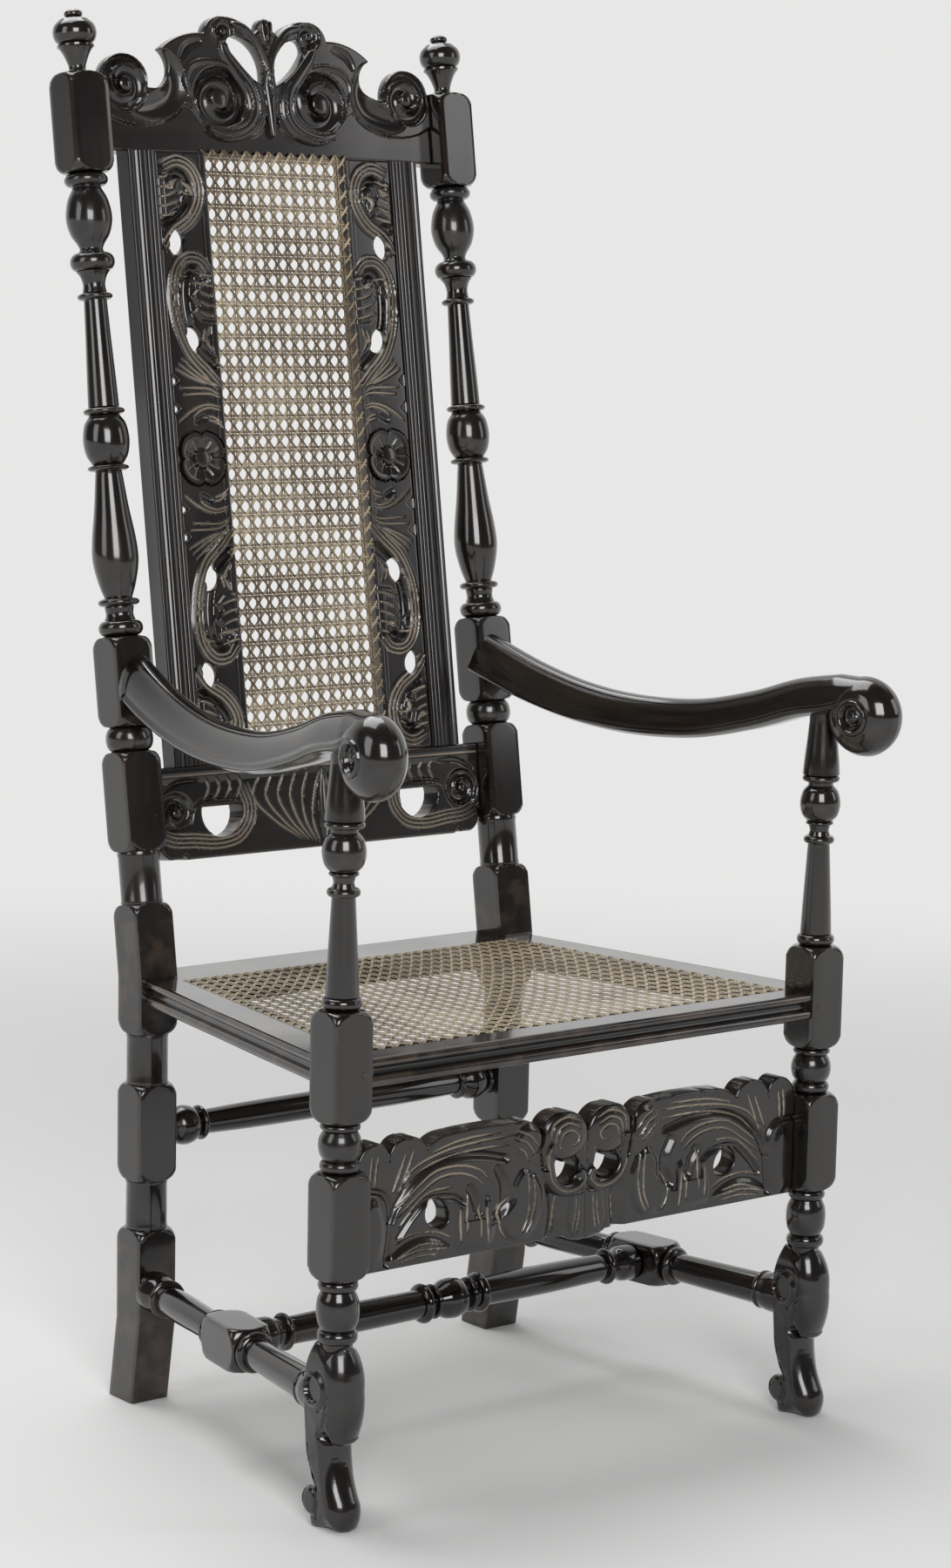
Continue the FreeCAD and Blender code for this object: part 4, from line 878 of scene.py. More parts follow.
def carve_crest():
    half = edge(
        (HALF_BACK, 0), (HALF_BACK, 50), (203, 67, 194, 88), (174, 96, 152, 86), (146, 64, 127, 68),
        (129, 103, 105, 117), (76, 121, 66, 136), (52, 139, 32, 136), (14, 124), (9, 128, 6, 137), (0, 140),
    )
    teardrops = two_holes((8, 72, 8.5, 98), (33, 119.5, 45, 117), (46, 107, 33, 90))
    board = Relief([both_halves(half), *teardrops], fold=folded)
    scrolls = edge(
        (HALF_BACK + 2, 38), (190, 30, 152, 25), (114, 39), (104, 48), (97, 44), (86, 31, 62, 22), (40, 26),
        (32, 18, 16, 22), (6, 40), (-4, 40), (-4, 144), (HALF_BACK + 2, 144), closed=True,
    )
    board.height -= 3.4
    board.plateau(scrolls, 3.6, 2.2)
    board.groove([(127, 101), (119, 84), (115, 66), (124, 50), (146, 42), (170, 40)], 16, 7, 0.35)
    board.spiral(174, 66, 29, 17, 0.6, 1, 6.5, 7.5, 3)
    board.spiral(63, 56, 32, 20, 2.4, -1, 8.0, 10.5, 2.5)
    board.ridge([(40, 80), (54, 90), (74, 93), (94, 88), (102, 74), (98, 56)], 3.4, 2.6, -0.4, 0.3)
    board.groove([(80, 113), (98, 106), (108, 92)], 5, 2.4)
    band = smooth((58, 112), (51, 99), (38, 84), (24, 66), (21, 44), (33, 28), (56, 21), (78, 25))
    board.ridge(band, 10, 5, -1, 0.3)
    board.grooves(1.4, 1.6, *(offset(band, shift)[20:] for shift in (-4, 4)))
    board.spiral(53, 124, 14.5, 9.5, 0.2, 1, 4.0, 4, 2)
    board.ridge([(0, 20), (0, 48), (2, 74), (5, 94), (13, 111), (26, 127), (42, 132)], 6.5, 4.5, -1, 0.2)
    board.groove([(0, 60), (2, 78), (6, 95), (14, 111), (27, 126)], 1.5, 1.8)
    for across, lobe in ((0, 3.6), (6, 3.4)):
        board.ridge([(0, 108), (0.6 * across, 122), (across, 138)], lobe, 4, -0.5, 0.5)
    board.groove([(1, 112), (2.6, 124), (3.4, 138)], 1.2, 2.4)
    board.gouged *= 0.3
    return leaning_board(board, CREST_FOOT, 2.4, bevel=14)


carved_piece("crest_rail_carved", carve_crest(), CARVED_WOOD, "crest_rail")

# %% [markdown]
# The rail under the panel carries the same scrolls, lower and flatter: volutes at its ends, a half-moon
# hole on each side and a fan of leaf gouges in the middle.

# %% Lower back rail


def carve_lower_rail():
    half = edge(
        (HALF_BACK, 93), (HALF_BACK, 24), (199, 24, 198, 8), (188, 1), (176, 1), (172, 5), (168, 0), (0, 0),
    )
    board = Relief([both_halves(half[::-1]), *two_holes((100, 51), (148, 51, 124, 20))], fold=folded)
    board.height -= 1.4 * unit((82 - board.v) / 6)
    board.spiral(180, 47, 22, 11, 1.2, -1, 3.6, 5, 2.5)
    board.groove([(0, 84), (100, 84), (204, 84)], 1.6, 1.8, 0)
    under = smooth((204, 22), (184, 14), (160, 12), (130, 9), (104, 14), (88, 30), (84, 50), (92, 72))
    board.grooves(1.4, 2.2, *(offset(under, -shift) for shift in (0, 4.5, 9, 13)))
    for step in range(6):
        foot, top = 10 + 9 * step, 4 + 15 * step
        board.groove([(foot * 0.5 + 2, 6 + step), (foot + 4, 30), (top + 6, 56), (top - 2, 79)], 1.5, 2.4)
    board.groove([(98, 56), (124, 60), (152, 56), (160, 46)], 2.4, 2.4)
    for step in range(0, 52, 13):
        board.groove([(104 + step, 80), (100 + step, 70), (106 + step, 58)], 1.5, 2.2)
    board.groove([(150, 78), (176, 77), (198, 66)], 3, 2.6)
    board.ridge([(0, 4), (0, 40), (0, 80)], 6, 3.2, -1.2, 0.4)
    board.groove([(0, 10), (0, 74)], 1.4, 1.6)
    return leaning_board(board, LOW_RAIL_FOOT, 2.0)


carved_piece("lower_back_rail_carved", carve_lower_rail(), CARVED_WOOD, "lower_back_rail")

# %% [markdown]
# Each upright has a rosette in its middle. Above and below it, a leaf stem swings from side to side and
# curls over twice, with a pierced eye under each curl. The carver drew one half and turned the pattern
# over; so does the grid, by folding its height about the rosette.

# %% Leaves of the uprights
UPRIGHT_INNER = 85.5
UPRIGHT_WIDE = 60
UPRIGHT_THICK = 18
UPRIGHT_EASE = 1.6
PANEL_TALL = CREST_FOOT - LOW_RAIL_TOP
PANEL_MIDDLE = PANEL_TALL / 2
EDGE_HOLES = (50, 78)
LEAF_HOLES = ((30, 119, 3), (42, 216, -3))
STEMS = {
    1: smooth(
        (3, 70), (16, 84), (36, 104), (48, 132), (51, 164), (46, 188), (33, 201), (16, 200), (5, 188),
    ),
    -1: smooth((56, 208), (44, 224), (24, 238), (12, 256), (11, 276), (20, 292), (36, 298), (54, 292)),
}
LEAVES = (
    edge(
        (2, 134), (20, 136), (30, 146), (25, 152), (31, 162), (24, 170), (26, 184), (12, 188), (2, 184),
        closed=True,
    ),
    edge(
        (58, 236), (42, 238), (32, 246), (37, 252), (30, 260), (36, 268), (32, 280), (46, 286), (58, 282),
        closed=True,
    ),
)


def upright_outlines():
    """The strip, and its leaf-shaped and three-cornered piercings."""
    loops = [edge((0, 0), (UPRIGHT_WIDE, 0), (UPRIGHT_WIDE, PANEL_TALL), (0, PANEL_TALL), closed=True)]
    for sign in (1, -1):
        for across, up, slant in LEAF_HOLES:
            up, slant = PANEL_MIDDLE + sign * up, sign * slant
            low_tip = (across - slant, up - 13, across - 9, up)
            high_tip = (across + slant, up + 13, across + 8.5, up)
            loops.append(edge(low_tip, high_tip, closed=True))
        for up in (PANEL_MIDDLE + sign * hole for hole in EDGE_HOLES):
            loops.append(edge((59, up - 6), (59, up + 6), (51.5, up), closed=True))
    return loops


def carve_leaves(board):
    board.height -= 1.2 * unit((board.u - 6) / 3)
    for side, stem in STEMS.items():
        board.sink(offset(stem, side * 14)[8:], 8, 6.5)
        board.ridge(offset(stem, side * 1.5), 9, 4.2, -2.6, 0.2)
        for shift in (-3.5, 1, 5.5):
            board.groove(offset(stem, side * shift), 1.4, 2.2, 0.15)
    for leaf in LEAVES:
        board.plateau(leaf, 4.2, 4)
    for step in range(5):
        low, high = 141 + 10 * step, 241 + 9.5 * step
        board.grooves(1.3, 2.4, [(2, low), (12, low + 2), (24 - step, low + 6)],
                      [(59, high), (49, high + 2), (38 + step, high + 6)])
    board.grooves(
        1.4, 2.2, [(4, 63), (18, 70), (51, 71)], [(3, 60), (16, 65), (47, 64)],
        [(4, 51), (16, 54), (29, 52), (43, 45), (55, 36)], [(4, 48), (17, 51), (30, 47), (37, 41)],
        [(3, 30), (9, 36), (19, 39)], [(5, 36), (12, 41), (20, 43)],
    )
    board.sink([(25, 41), (33, 37)], 6, 4)
    for step in range(3):
        fan = [(6 + 6 * step, 72 + step), (26 + 6 * step, 84 - step), (46 + 4 * step, 100 - 5 * step)]
        board.groove(fan, 1.4, 2)
        board.groove([(7 + 4 * step, 106 + 12 * step), (14 + 2 * step, 118), (9, 132 - 3 * step)], 1.3, 2)
    for hollow in ([(30, 262), (31, 255)], [(39, 176), (40, 168)]):
        board.sink(hollow, 6, 6.5)
    board.grooves(
        1.4, 2.0, [(33, 250), (35, 262), (28, 267), (20, 263)], [(31, 279), (22, 273), (19, 262)],
        [(55, 271), (47, 269), (41, 276)], [(47, 171), (42, 182), (29, 182)],
        [(26, 176), (15, 173), (9, 178)], [(45, 150), (44, 134), (38, 120)],
    )


print("stems and leaves drawn for", PANEL_TALL, "mm")

# %% [markdown]
# A rosette has four petals with notches between them, dished towards a raised button. It is easier to
# give by distance and angle from its centre than by strokes, so its height is worked out directly.

# %% Rosettes of the uprights
ROSETTE_ACROSS = 31
ROSETTE_RADIUS = 28.5
PETALS = 4
NOTCHED = 0.74
PETAL_LINES = (-0.24, 0.24)
LINE_HALF = 1.3
BUTTON = 9.3


def carve_rosette(board):
    """Four petals with notches between them, dished towards a button, with two lines on each."""
    side, up = board.u - ROSETTE_ACROSS, board.z - PANEL_MIDDLE
    gap, turn = np.hypot(side, up), np.arctan2(up, side)
    rim = ROSETTE_RADIUS * (NOTCHED + (1 - NOTCHED) * np.abs(np.sin(PETALS / 2 * turn)) ** 0.4)
    bowl = 1.4 - 3.2 * soft((0.9 - gap / rim) / 0.5)
    ground = np.where(gap < rim + 2.0, np.minimum(board.height, -4.0), board.height)
    board.height = np.where(gap < rim, bowl, ground)
    for petal in range(PETALS):
        for swing in PETAL_LINES:
            angle = (petal + 0.5) * 2 * math.pi / PETALS + swing
            aside = np.abs(side * math.sin(angle) - up * math.cos(angle))
            ahead = side * math.cos(angle) + up * math.sin(angle)
            line = unit(1 - aside / LINE_HALF) * ((ahead > 9) & (ahead < NOTCHED * ROSETTE_RADIUS))
            board.height -= 1.6 * line
            board.gouged = np.maximum(board.gouged, 0.6 * line)
    board.height = np.where(gap < BUTTON + 1.2, -2.6, board.height)
    board.height = np.where(gap < BUTTON, 0.6 + 1.6 * np.sqrt(unit(1 - (gap / BUTTON) ** 2)), board.height)


print("rosette", 2 * ROSETTE_RADIUS, "mm across")

# %% [markdown]
# The back of an upright is hollowed round each piercing, so that light shows through. The left one is the
# mirror image of the right one, and its faces are turned round so that they still look outwards.

# %% Put the uprights in place
THINNED = 11
THINNED_EDGE = 7
LEAST_THICK = 1.5


def upright_thickness(board):
    """The board is cut thin from behind round each piercing, so that light shows through it."""
    thick = np.full(len(board.u), float(UPRIGHT_THICK))
    cuts = [(56, up, 14) for up in EDGE_HOLES] + [(across, up, 24) for across, up, _ in LEAF_HOLES]
    for across, up, reach in cuts:
        gap = np.hypot(board.u - across, board.v - up)
        thick = np.minimum(thick, UPRIGHT_THICK - THINNED * unit((reach - gap) / THINNED_EDGE))
    return np.maximum(thick, LEAST_THICK - board.eased(UPRIGHT_EASE))


upright = Relief(upright_outlines(), fold=lambda x, z: (x, np.abs(z - PANEL_MIDDLE)))
carve_leaves(upright)
carve_rosette(upright)
for side, sign in SIDES_OF_CHAIR:
    x, rise = sign * (upright.x + UPRIGHT_INNER), LOW_RAIL_TOP + upright.z
    front = lean(x, BACK_FACE - upright.eased(UPRIGHT_EASE), rise)
    points, faces, gouged = upright.mesh(front, lean(x, BACK_FACE + upright_thickness(upright), rise))
    carving = (points, faces if sign > 0 else [face[::-1] for face in faces], gouged)
    carved_piece(f"carved_upright_{side}_leaf", carving, UPRIGHT_WOOD, f"carved_upright_{side}")

# %% [markdown]
# A moulded strip closes each side of the panel. A joiner runs it with one shaped plane, so its section is
# the same all along: from the outside a fillet, a cove, a broad round and two small beads. Here the
# section is drawn once and stretched between the two rails.

# %% Moulded strips
STILE_EDGE = UPRIGHT_INNER + UPRIGHT_WIDE
STILE_WIDE = 33
STILE_THICK = 20
STILE_SHARP = math.radians(50)
STILE_SECTION = joined(
    (0, 0), (1.4, 0), (1.5, 1.0), bead(1.8, 5.8, 0.6, 2.3, 8), bead(6.2, 10.4, 0.6, 2.3, 8), (10.8, 0.5),
    bead(11.2, 20.4, 1.0, 2.5, 14), (20.8, 0.4), (21.6, 0.4), (21.7, 1.6),
    smooth((22.4, 1.4), (25, 0.2), (27.5, 0.3), (29.6, 1.6)), (30, 2.2), (32.4, 2.2), (STILE_WIDE, 1.6),
    (STILE_WIDE, 0), (STILE_WIDE, -STILE_THICK), (0, -STILE_THICK),
)
across, forward = STILE_SECTION[::-1].T
rises = np.linspace(LOW_RAIL_TOP, CREST_FOOT, 13)[:, None]
strip = lean(*np.broadcast_arrays(STILE_EDGE + across, BACK_FACE - forward, rises))
pair("back_stile_{}_moulded", strip, STILE_WOOD, "back_stile_{}", sharp=STILE_SHARP)

# %% [markdown]
# The front stretcher is a long leaf on each side, swept up from the lower end to a curled tip, with lobed
# ends beside the posts and two facing curls in the middle. It is carved in three parts, from the ends
# inwards.

# %% Front stretcher: end leaves


def carve_end_leaves(board):
    """The plain boss and two lobes beside the post, and the two long leaves that sweep up from them."""
    board.sink([(272, 76), (252, 76), (236, 68), (231, 44), (235, 6)], 5, 4)
    board.plateau(oval(252, 35, 34, 72), 2.6, 10)
    board.sink([(231, 44), (222, 62), (204, 80), (180, 92), (150, 95), (122, 92), (98, 86)], 6, 4.5)
    board.sink([(222, 28), (206, 46), (188, 59), (160, 58), (146, 50)], 5, 3.5)
    board.grooves(
        1.35, 1.9, [(255, 76), (254, 92), (252, 108)], [(249, 77), (248, 92), (246, 107)],
        [(229, 72), (223, 86), (214, 106)], [(222, 70), (214, 88), (205, 108)],
        [(225, 70), (205, 91), (171, 102), (131, 106), (87, 107)],
        [(220, 67), (196, 86), (161, 96), (127, 99), (94, 98)], [(184, 103), (151, 110), (104, 112)],
        [(224, 55), (200, 73), (178, 85), (150, 86), (128, 79), (118, 69)],
        [(223, 48), (198, 66), (176, 78), (152, 79), (134, 73), (123, 64)],
        [(222, 38), (206, 54), (187, 66), (160, 68)],
    )
    board.plateau(edge((240, 5, 200, 1.5), (156, 10, 200, 27), closed=True), 2.6, 9)
    board.grooves(
        1.1, 1.6, [(232, 7), (200, 14), (164, 11)], [(224, 10), (197, 19), (172, 16)],
        [(222, 5), (198, 8.5), (174, 7)], [(226, 24), (204, 30), (178, 28), (160, 20)],
    )


print("end leaves ready")

# %% Front stretcher: middle leaves and loops
LEAF_UNDER_SWEEP = smooth(
    (156, 6), (132, 3), (113, 6), (107, 26), (111, 50), (130, 57), (150, 50), (158, 26), (156, 6),
)
S_LEAF = smooth(
    (60, 66), (52, 47), (55, 24), (68, 6), (90, 5), (102, 18), (102, 34), (91, 46), (90, 60),
    (78, 74), (60, 66),
)
RING = smooth((46, 92), (47, 76), (43, 58), (31, 47.5), (15, 46), (5, 53), (8, 62))


def carve_middle_leaves(board):
    """The upright leaf under the sweep, and the S-shaped leaf with a curled tip beside the loops."""
    board.plateau(LEAF_UNDER_SWEEP, 2.2, 8)
    board.sink([(139, 62), (133, 52), (129, 40)], 8, 4.5)
    board.sink([(106, 76), (99, 62), (99, 46), (107, 33)], 8, 5)
    board.plateau(S_LEAF, 2.8, 7)
    board.plateau(oval(71, 98, 38, 36), 3.2, 8)
    board.sink([(41, 52), (38, 28), (41, 0)], 11, 6)
    # These fine cuts take the pale gouge colour; in the crescent beside the S leaf it is a painted
    # highlight in the hollow.
    board.grooves(
        1.35, 1.9, [(141, 61), (142, 42), (143, 22)], [(150.5, 45), (151, 30), (150, 14)],
        [(126, 46), (126.5, 32), (126, 14)], [(120, 44), (119, 26), (117, 8)],
        [(73, 72), (70.5, 50), (71.6, 29), (79, 12)], [(66, 68), (63.5, 45), (67, 25), (75, 9)],
        [(86, 110), (71, 104), (60, 92)], [(87, 103), (75, 98), (64, 85)], [(86, 95), (78, 90), (70, 80)],
        [(34, 42), (36, 24), (38, 6)], [(92, 48), (103, 36), (103, 20), (95, 8)],
    )


def carve_loops(board):
    """Two facing curls that wind down into open loops, and the small leaf that hangs below them."""
    board.plateau(edge((0, -6), (16, -4), (25, 14), (20, 42), (0, 44), closed=True), 2.2, 4)
    board.grooves(1.1, 1.8, [(8, 38), (9, 20), (12, 2)], [(12.5, 38), (13.5, 20), (17, 4)])
    board.ridge(RING, 7, 5.5, -0.8, 0.1)
    board.groove(offset(RING, 1.5), 1.1, 1.4)
    board.sink([(54, 104), (55, 88), (52, 70)], 3.5, 4)
    board.dome(27, 98, 54, 46, 6)
    board.grooves(
        1.2, 2.2, [(47, 94), (43, 110), (26, 116), (9, 110)], [(42, 90), (38, 105), (25, 110), (11, 104)],
        [(37, 88), (33, 100), (22, 103), (13, 96), (18, 89), (25, 92)],
    )
    board.ridge([(3, 96), (6, 84), (5, 66)], 5, 4, -1.0, 0.2)


print("middle leaves and loops ready")

# %% Front stretcher: the whole board
STRETCHER_FOOT = node_box("front_stretcher")[0][2] + 6
STRETCHER_HALF = 268.5


def carve_stretcher():
    half = edge(
        (0, -6, 14, -5), (26, 0), (STRETCHER_HALF, 0), (STRETCHER_HALF, 90, 263, 113), (248, 120, 238, 116),
        (233, 102, 227, 116), (211, 120.5, 197, 117), (190, 107, 181, 114), (166, 118, 124, 119.5),
        (84, 118, 66, 115), (55, 101, 48, 115), (28, 120.5, 9, 115), (0, 99),
    )
    holes = two_holes((12, 60, 22, 51.5), (36, 58, 39, 67), (36, 76, 25, 72), (14, 77, 10, 69))
    holes += two_holes((164, 36, 168, 52), (184, 58, 190, 42), (180, 32, 172, 31))
    board = Relief([both_halves(half), *holes], fold=folded)
    for carve in (carve_end_leaves, carve_middle_leaves, carve_loops):
        carve(board)
    rise = STRETCHER_FOOT + board.z
    front = np.stack([board.x, FRONT_Y - board.eased(2.0), rise], axis=-1)
    back = np.stack([board.x, np.full(len(rise), FRONT_Y + STRETCHER_THICK), rise], axis=-1)
    return board.mesh(front, back)


carved_piece("front_stretcher_carved", carve_stretcher(), CARVED_WOOD, "front_stretcher")

# %% [markdown]
# Each front leg ends in a scroll: a full knee that rolls over in a lip, a shank that sweeps forward to
# the toe, and a curl behind the heel. It is sawn to that side view and then rounded over, most of all at
# the front.

# %% Scroll legs
LEG_TALL = 172
LEG_CELL = 1.2
LEG_EYE = (8, 129, 16)
EYE_RING_WIDE = 2.4
EYE_RING_RISE = 1.6
KNEE_FOOT = 84
SHANK_TOP = 83
LEAST_HALF = 2


def carve_leg():
    side_view = edge(
        (-15, LEG_TALL, -24, 154), (-27, 128, -26.5, 106), (-20, 86, -14, 79), (-8, 84), (-2, 87),
        (-7, 79, -12, 52), (-23.5, 27, -26, 15), (-21, 0), (12, 0), (15, 8, 28, 22), (14, 37),
        (9, 38.5, 17.5, 55), (22, 78), (24, 132, 20, 156), (14, LEG_TALL), closed=True,
    )
    leg = Relief([side_view], LEG_CELL)
    ease = 3.5 + np.where(leg.v > KNEE_FOOT, 15, 13) * soft((12 - leg.u) / 22)
    neck = unit((LEG_TALL - leg.v) / 34)
    span = 8 + 2.5 * np.clip(leg.u + 4, 0, 20)
    shank = unit((SHANK_TOP + span / 2 - leg.v) / span)
    width = FRONT_HALF + 0.5 - 5.5 * (1 - neck) ** 2 - 2.6 * shank
    leg.height = width - rounded(leg.depth_in, ease)
    x, z, radius = LEG_EYE
    gap = np.hypot(leg.u - x, leg.v - z)
    ring = unit(1 - ((gap - radius + EYE_RING_WIDE) / EYE_RING_WIDE) ** 2)
    leg.height += np.where(gap < radius, EYE_RING_RISE * ring, 0)
    leg.height -= np.where(gap < radius - 4.5, 2.2, 0)
    leg.groove(arc((x - 4, z + radius + 3), (x - radius - 3.5, z), (x - 2, z - radius - 3.5)), 2.6, 1.8)
    leg.groove([(-11.5, 127), (-9, 106), (-3, 88)], 2, 1.6, 0.1)
    leg.groove([(18, 78), (15, 56), (6.5, 42), (3.5, 26), (4, 8)], 1.8, 1.8, 0.1)
    leg.groove(oval(15.5, 22.5, 19, 25), 1.5, 1.6, 0)
    return leg


leg = carve_leg()
half_width = np.maximum(leg.height, LEAST_HALF)
for side, sign in SIDES_OF_CHAIR:
    front, back = (np.stack([sign * FRONT_X + cheek * half_width, FRONT_Y + leg.x, leg.z], axis=-1)
                   for cheek in (1, -1))
    points, faces, _ = leg.mesh(front, back)
    piece(f"scroll_leg_{side}", points, faces, POST_WOOD, "dark_wood", f"front_post_{side}")
print("leg faces", len(faces))

# %% [markdown]
# An arm is shaped with saw and spokeshave: it leaves the rear post, dips, rises over the front post and
# rolls over in a fat scroll. Its section is crowned on top, with a bead along the lower edge of each
# side.

# %% Sweep of the arms
ARM_LINE = [
    (-36, 727), (40, 703), (110, 688.5), (182, 683), (260, 687), (330, 702), (385, 719),
    (430, 727.5), (464, 736.5),
]
ARM_SIZES = np.array([
    (0, 42, 45), (0.3, 42, 40), (0.6, 42, 38), (0.85, 45, 38), (0.9, 45, 36), (1, 40, 20),
])
ARM_OUTLINE = [
    (0, 0.5), (0.3, 0.47), (0.58, 0.36), (0.8, 0.17), (0.93, -0.06), (0.97, -0.2), (1.04, -0.27),
    (1.06, -0.33), (1.0, -0.39), (0.9, -0.43), (0.6, -0.5),
]
PLAN_TURN = math.atan2(FRONT_X - REAR_X, REAR_Y - FRONT_Y)


def arm_place(run, across, height):
    """A place on the right arm: run forward from the rear axis along its plan, across to the outside."""
    x = REAR_X + run * math.sin(PLAN_TURN) + across * math.cos(PLAN_TURN)
    y = REAR_Y - run * math.cos(PLAN_TURN) + across * math.sin(PLAN_TURN)
    return np.stack(np.broadcast_arrays(x, y, height), axis=-1)


def arm_section(wide, tall):
    """Across and up round the section: a crown, a bead at the lower edge and a flat underside."""
    half = smooth(*ARM_OUTLINE, steps=4) * (wide / 2, tall)
    return np.vstack([half[::-1], half[1:] * (-1, 1)]).T


def sweep_arm():
    line = smooth(*ARM_LINE, steps=9)
    rows = []
    for (run, height), (forward, climb), share in zip(line, heading(line), np.linspace(0, 1, len(line))):
        wide, tall = (np.interp(share, ARM_SIZES[:, 0], sizes) for sizes in ARM_SIZES.T[1:])
        across, up = arm_section(wide, tall)
        rows.append(arm_place(run - up * climb, across, height + up * forward))
    return np.array(rows)


pair("arm_{}_sweep", sweep_arm(), SIDE_WOOD, "arm_{}")

# %% [markdown]
# The scroll at the front of an arm is a thick disc with a moulded cheek and a small coil at its eye. On
# the chair it is carved. Here it is a turned profile laid on its side, which gives the round rim with no
# strokes.

# %% Rolled ends of the arms
ROLL_AHEAD = 51
ROLL_Z = 708
ROLL_RADIUS = 39
ROLL_HALF = 26
COIL = 1.8
COIL_FROM = 4.5
COIL_TO = 11


def roll_profile():
    """Radius and distance across from the middle, from one cheek's centre to the other's."""
    eye = np.linspace(0.4, COIL_FROM, 5)
    cheek = joined(
        np.stack([eye, -3.2 - 0.05 * eye**2], axis=1), smooth((6, -6), (9, -6.4), (11.5, -3.6), (13, -1.2)),
        smooth((14.5, -0.4), (16.5, -1), (17.6, -3.4)),
        smooth((19, -3), (26, -5.6), (33.2, -11.5), (37.4, 7.5 - ROLL_HALF), (ROLL_RADIUS, -ROLL_HALF)),
    ) + (0, ROLL_HALF)
    return joined(cheek, cheek[-2::-1] * (1, -1))


def roll_rows():
    radius, across = (column[:, None] for column in roll_profile().T)
    coil = COIL * unit(np.sin(radius / 2.0 + TURNS)) * ((radius > COIL_FROM) & (radius < COIL_TO))
    run = SIDE_LONG + ROLL_AHEAD + radius * np.cos(TURNS)
    return arm_place(run, across - np.sign(across) * coil, ROLL_Z + radius * np.sin(TURNS))


pair("arm_{}_roll", roll_rows(), SIDE_WOOD, "arm_{}")

# %% [markdown]
# ## Cane
# Cane is the split bark of rattan, glossy on its rounded side. It is woven in six ways: pairs of strands
# along and across, then single strands on both slants, which leaves eight-sided holes. Each strand here
# is a real ribbon that rises over one crossing and dips under the next. Its finish runs from fresh straw
# to old brown, and the same brown is painted as shade on the sides and undersides of strands, where they
# dip under others and on one slant; the top of each strand is painted lighter.

# %% Cane finish
STRAW = (0.52, 0.43, 0.29, 1)
OLD_AND_SHADED_STRAW = (0.08, 0.054, 0.03, 1)
DARK_JOINT = (0.10, 0.066, 0.037, 1)
CANE_GRAIN = 2.0


def cane_finish(name):
    material, tree, surface = new_material(name)
    grain = place_group(tree, GRAIN, Stretch=(1, 1, 1), Scale=CANE_GRAIN)
    patch = ramp(tree, grain["Cloud"], 0.35, 0.7, 0.0, 0.4)
    # The mesh mask holds real age and painted shade, and a cloudy patch of real age is added to it.
    age_and_shade = ramp(tree, math_node(tree, "ADD", mesh_mask(tree, "aged_and_shaded"), patch), 0, 1)
    aged_and_shaded = mix_colour(tree, age_and_shade, STRAW, OLD_AND_SHADED_STRAW)
    jointed = mix_colour(tree, ramp(tree, grain["Streak"], 0.66, 0.78), aged_and_shaded, DARK_JOINT)
    tree.links.new(jointed, surface["Base Color"])
    tree.links.new(ramp(tree, grain["Cloud"], 0.3, 0.7, 0.32, 0.52), surface["Roughness"])
    pore_bump(tree, surface, grain["Pore"], 0.15, 0.0003)
    return material


CANE = cane_finish("cane")
print("finish", CANE.name)

# %% [markdown]
# One function weaves any panel on a flat sheet of its own: along, across and height. Another function
# lays that sheet on the chair, so the same weave serves the upright back and the seat, which is narrower
# behind.

# %% Weaving
STRAND = 2.2
CROWN = 0.45
UNDERSIDE = 0.2
PAIR_GAP = 1.55
RISE = 0.55
ALONG_LIFT = 0.15
ACROSS_LIFT = 0.3
ACROSS_WAVE = 0.8
SLANT_LIFT = 0.4
STRAND_END = -1.6
STEPS = 4
# Painted shade on the sides and underside of each strand, painted light on its top.
EDGE_SHADE = np.array([0.5, 0.7, 0.5, -0.2])
ALONG_TONE = 0.2
ACROSS_TONE = 0.3
# One slant is painted darker, as shade between the strands.
SLANT_SHADE = {1: 0.0, -1: 0.45}
SLANT_WIDE = {1: 2.9, -1: 2.0}
# Painted shade where a strand dips under others.
DIP_SHADE = 0.8
ODD_AGE = 0.12


def ribbon(line, width):
    """Points of a strand round a line on the sheet: flat below, rounded above. One row for each point."""
    side = np.pad(heading(line[:, :2])[:, ::-1] * (-width / 2, width / 2), ((0, 0), (0, 1)))
    up = np.array([0, 0, CROWN])
    return np.stack([line - side, line - UNDERSIDE * up, line + side, line + up], axis=1)


def weave(wide, tall, pitch, row_pitch, wander, shade):
    """All strands of a panel as ribbons on a sheet wide by tall, with the age and painted shade of each
    point.
    """
    columns, rows = round(wide / pitch), round(tall / row_pitch)
    across, up = wide / columns, tall / rows
    luck = np.random.default_rng(7)
    strands = []

    def strand(x, y, height, age_and_shade, width=STRAND):
        drift = wander * luck.normal(0, 1)
        line = np.stack(np.broadcast_arrays(x + drift, y, height), axis=1)
        dipped = unit((line[:, 2].mean() - line[:, 2]) / RISE)
        line[[0, -1], 2] = STRAND_END
        # A strand is painted darker where it dips under others, as shade.
        strands.append((ribbon(line, width), age_and_shade + shade + ODD_AGE * luck.normal(0, 1) + DIP_SHADE * dipped))

    y = np.linspace(0, tall, rows * STEPS + 1)
    for column in range(1, columns):
        for sign in (-1, 1):
            strand(np.full(len(y), column * across + sign * PAIR_GAP), y, ALONG_LIFT * sign, ALONG_TONE)
    x = np.linspace(0, wide, columns * STEPS + 1)
    for row in range(rows):
        for sign in (-1, 1):
            wave = ACROSS_LIFT + sign * RISE * ACROSS_WAVE * np.cos(2 * math.pi * x / across)
            strand(x, np.full(len(x), (row + 0.5) * up + sign * PAIR_GAP), wave, ACROSS_TONE)
    for slant in (1, -1):
        for start in range(-rows, columns + rows + 1):
            share = np.linspace(0, rows, rows * STEPS + 1)
            x_cell = start + slant * share
            keep = (x_cell >= -1e-6) & (x_cell <= columns + 1e-6)
            if keep.sum() > 2:
                wave = SLANT_LIFT - slant * RISE * np.cos(2 * math.pi * share[keep])
                strand(x_cell[keep] * across, share[keep] * up, wave, SLANT_SHADE[slant], SLANT_WIDE[slant])
    return strands


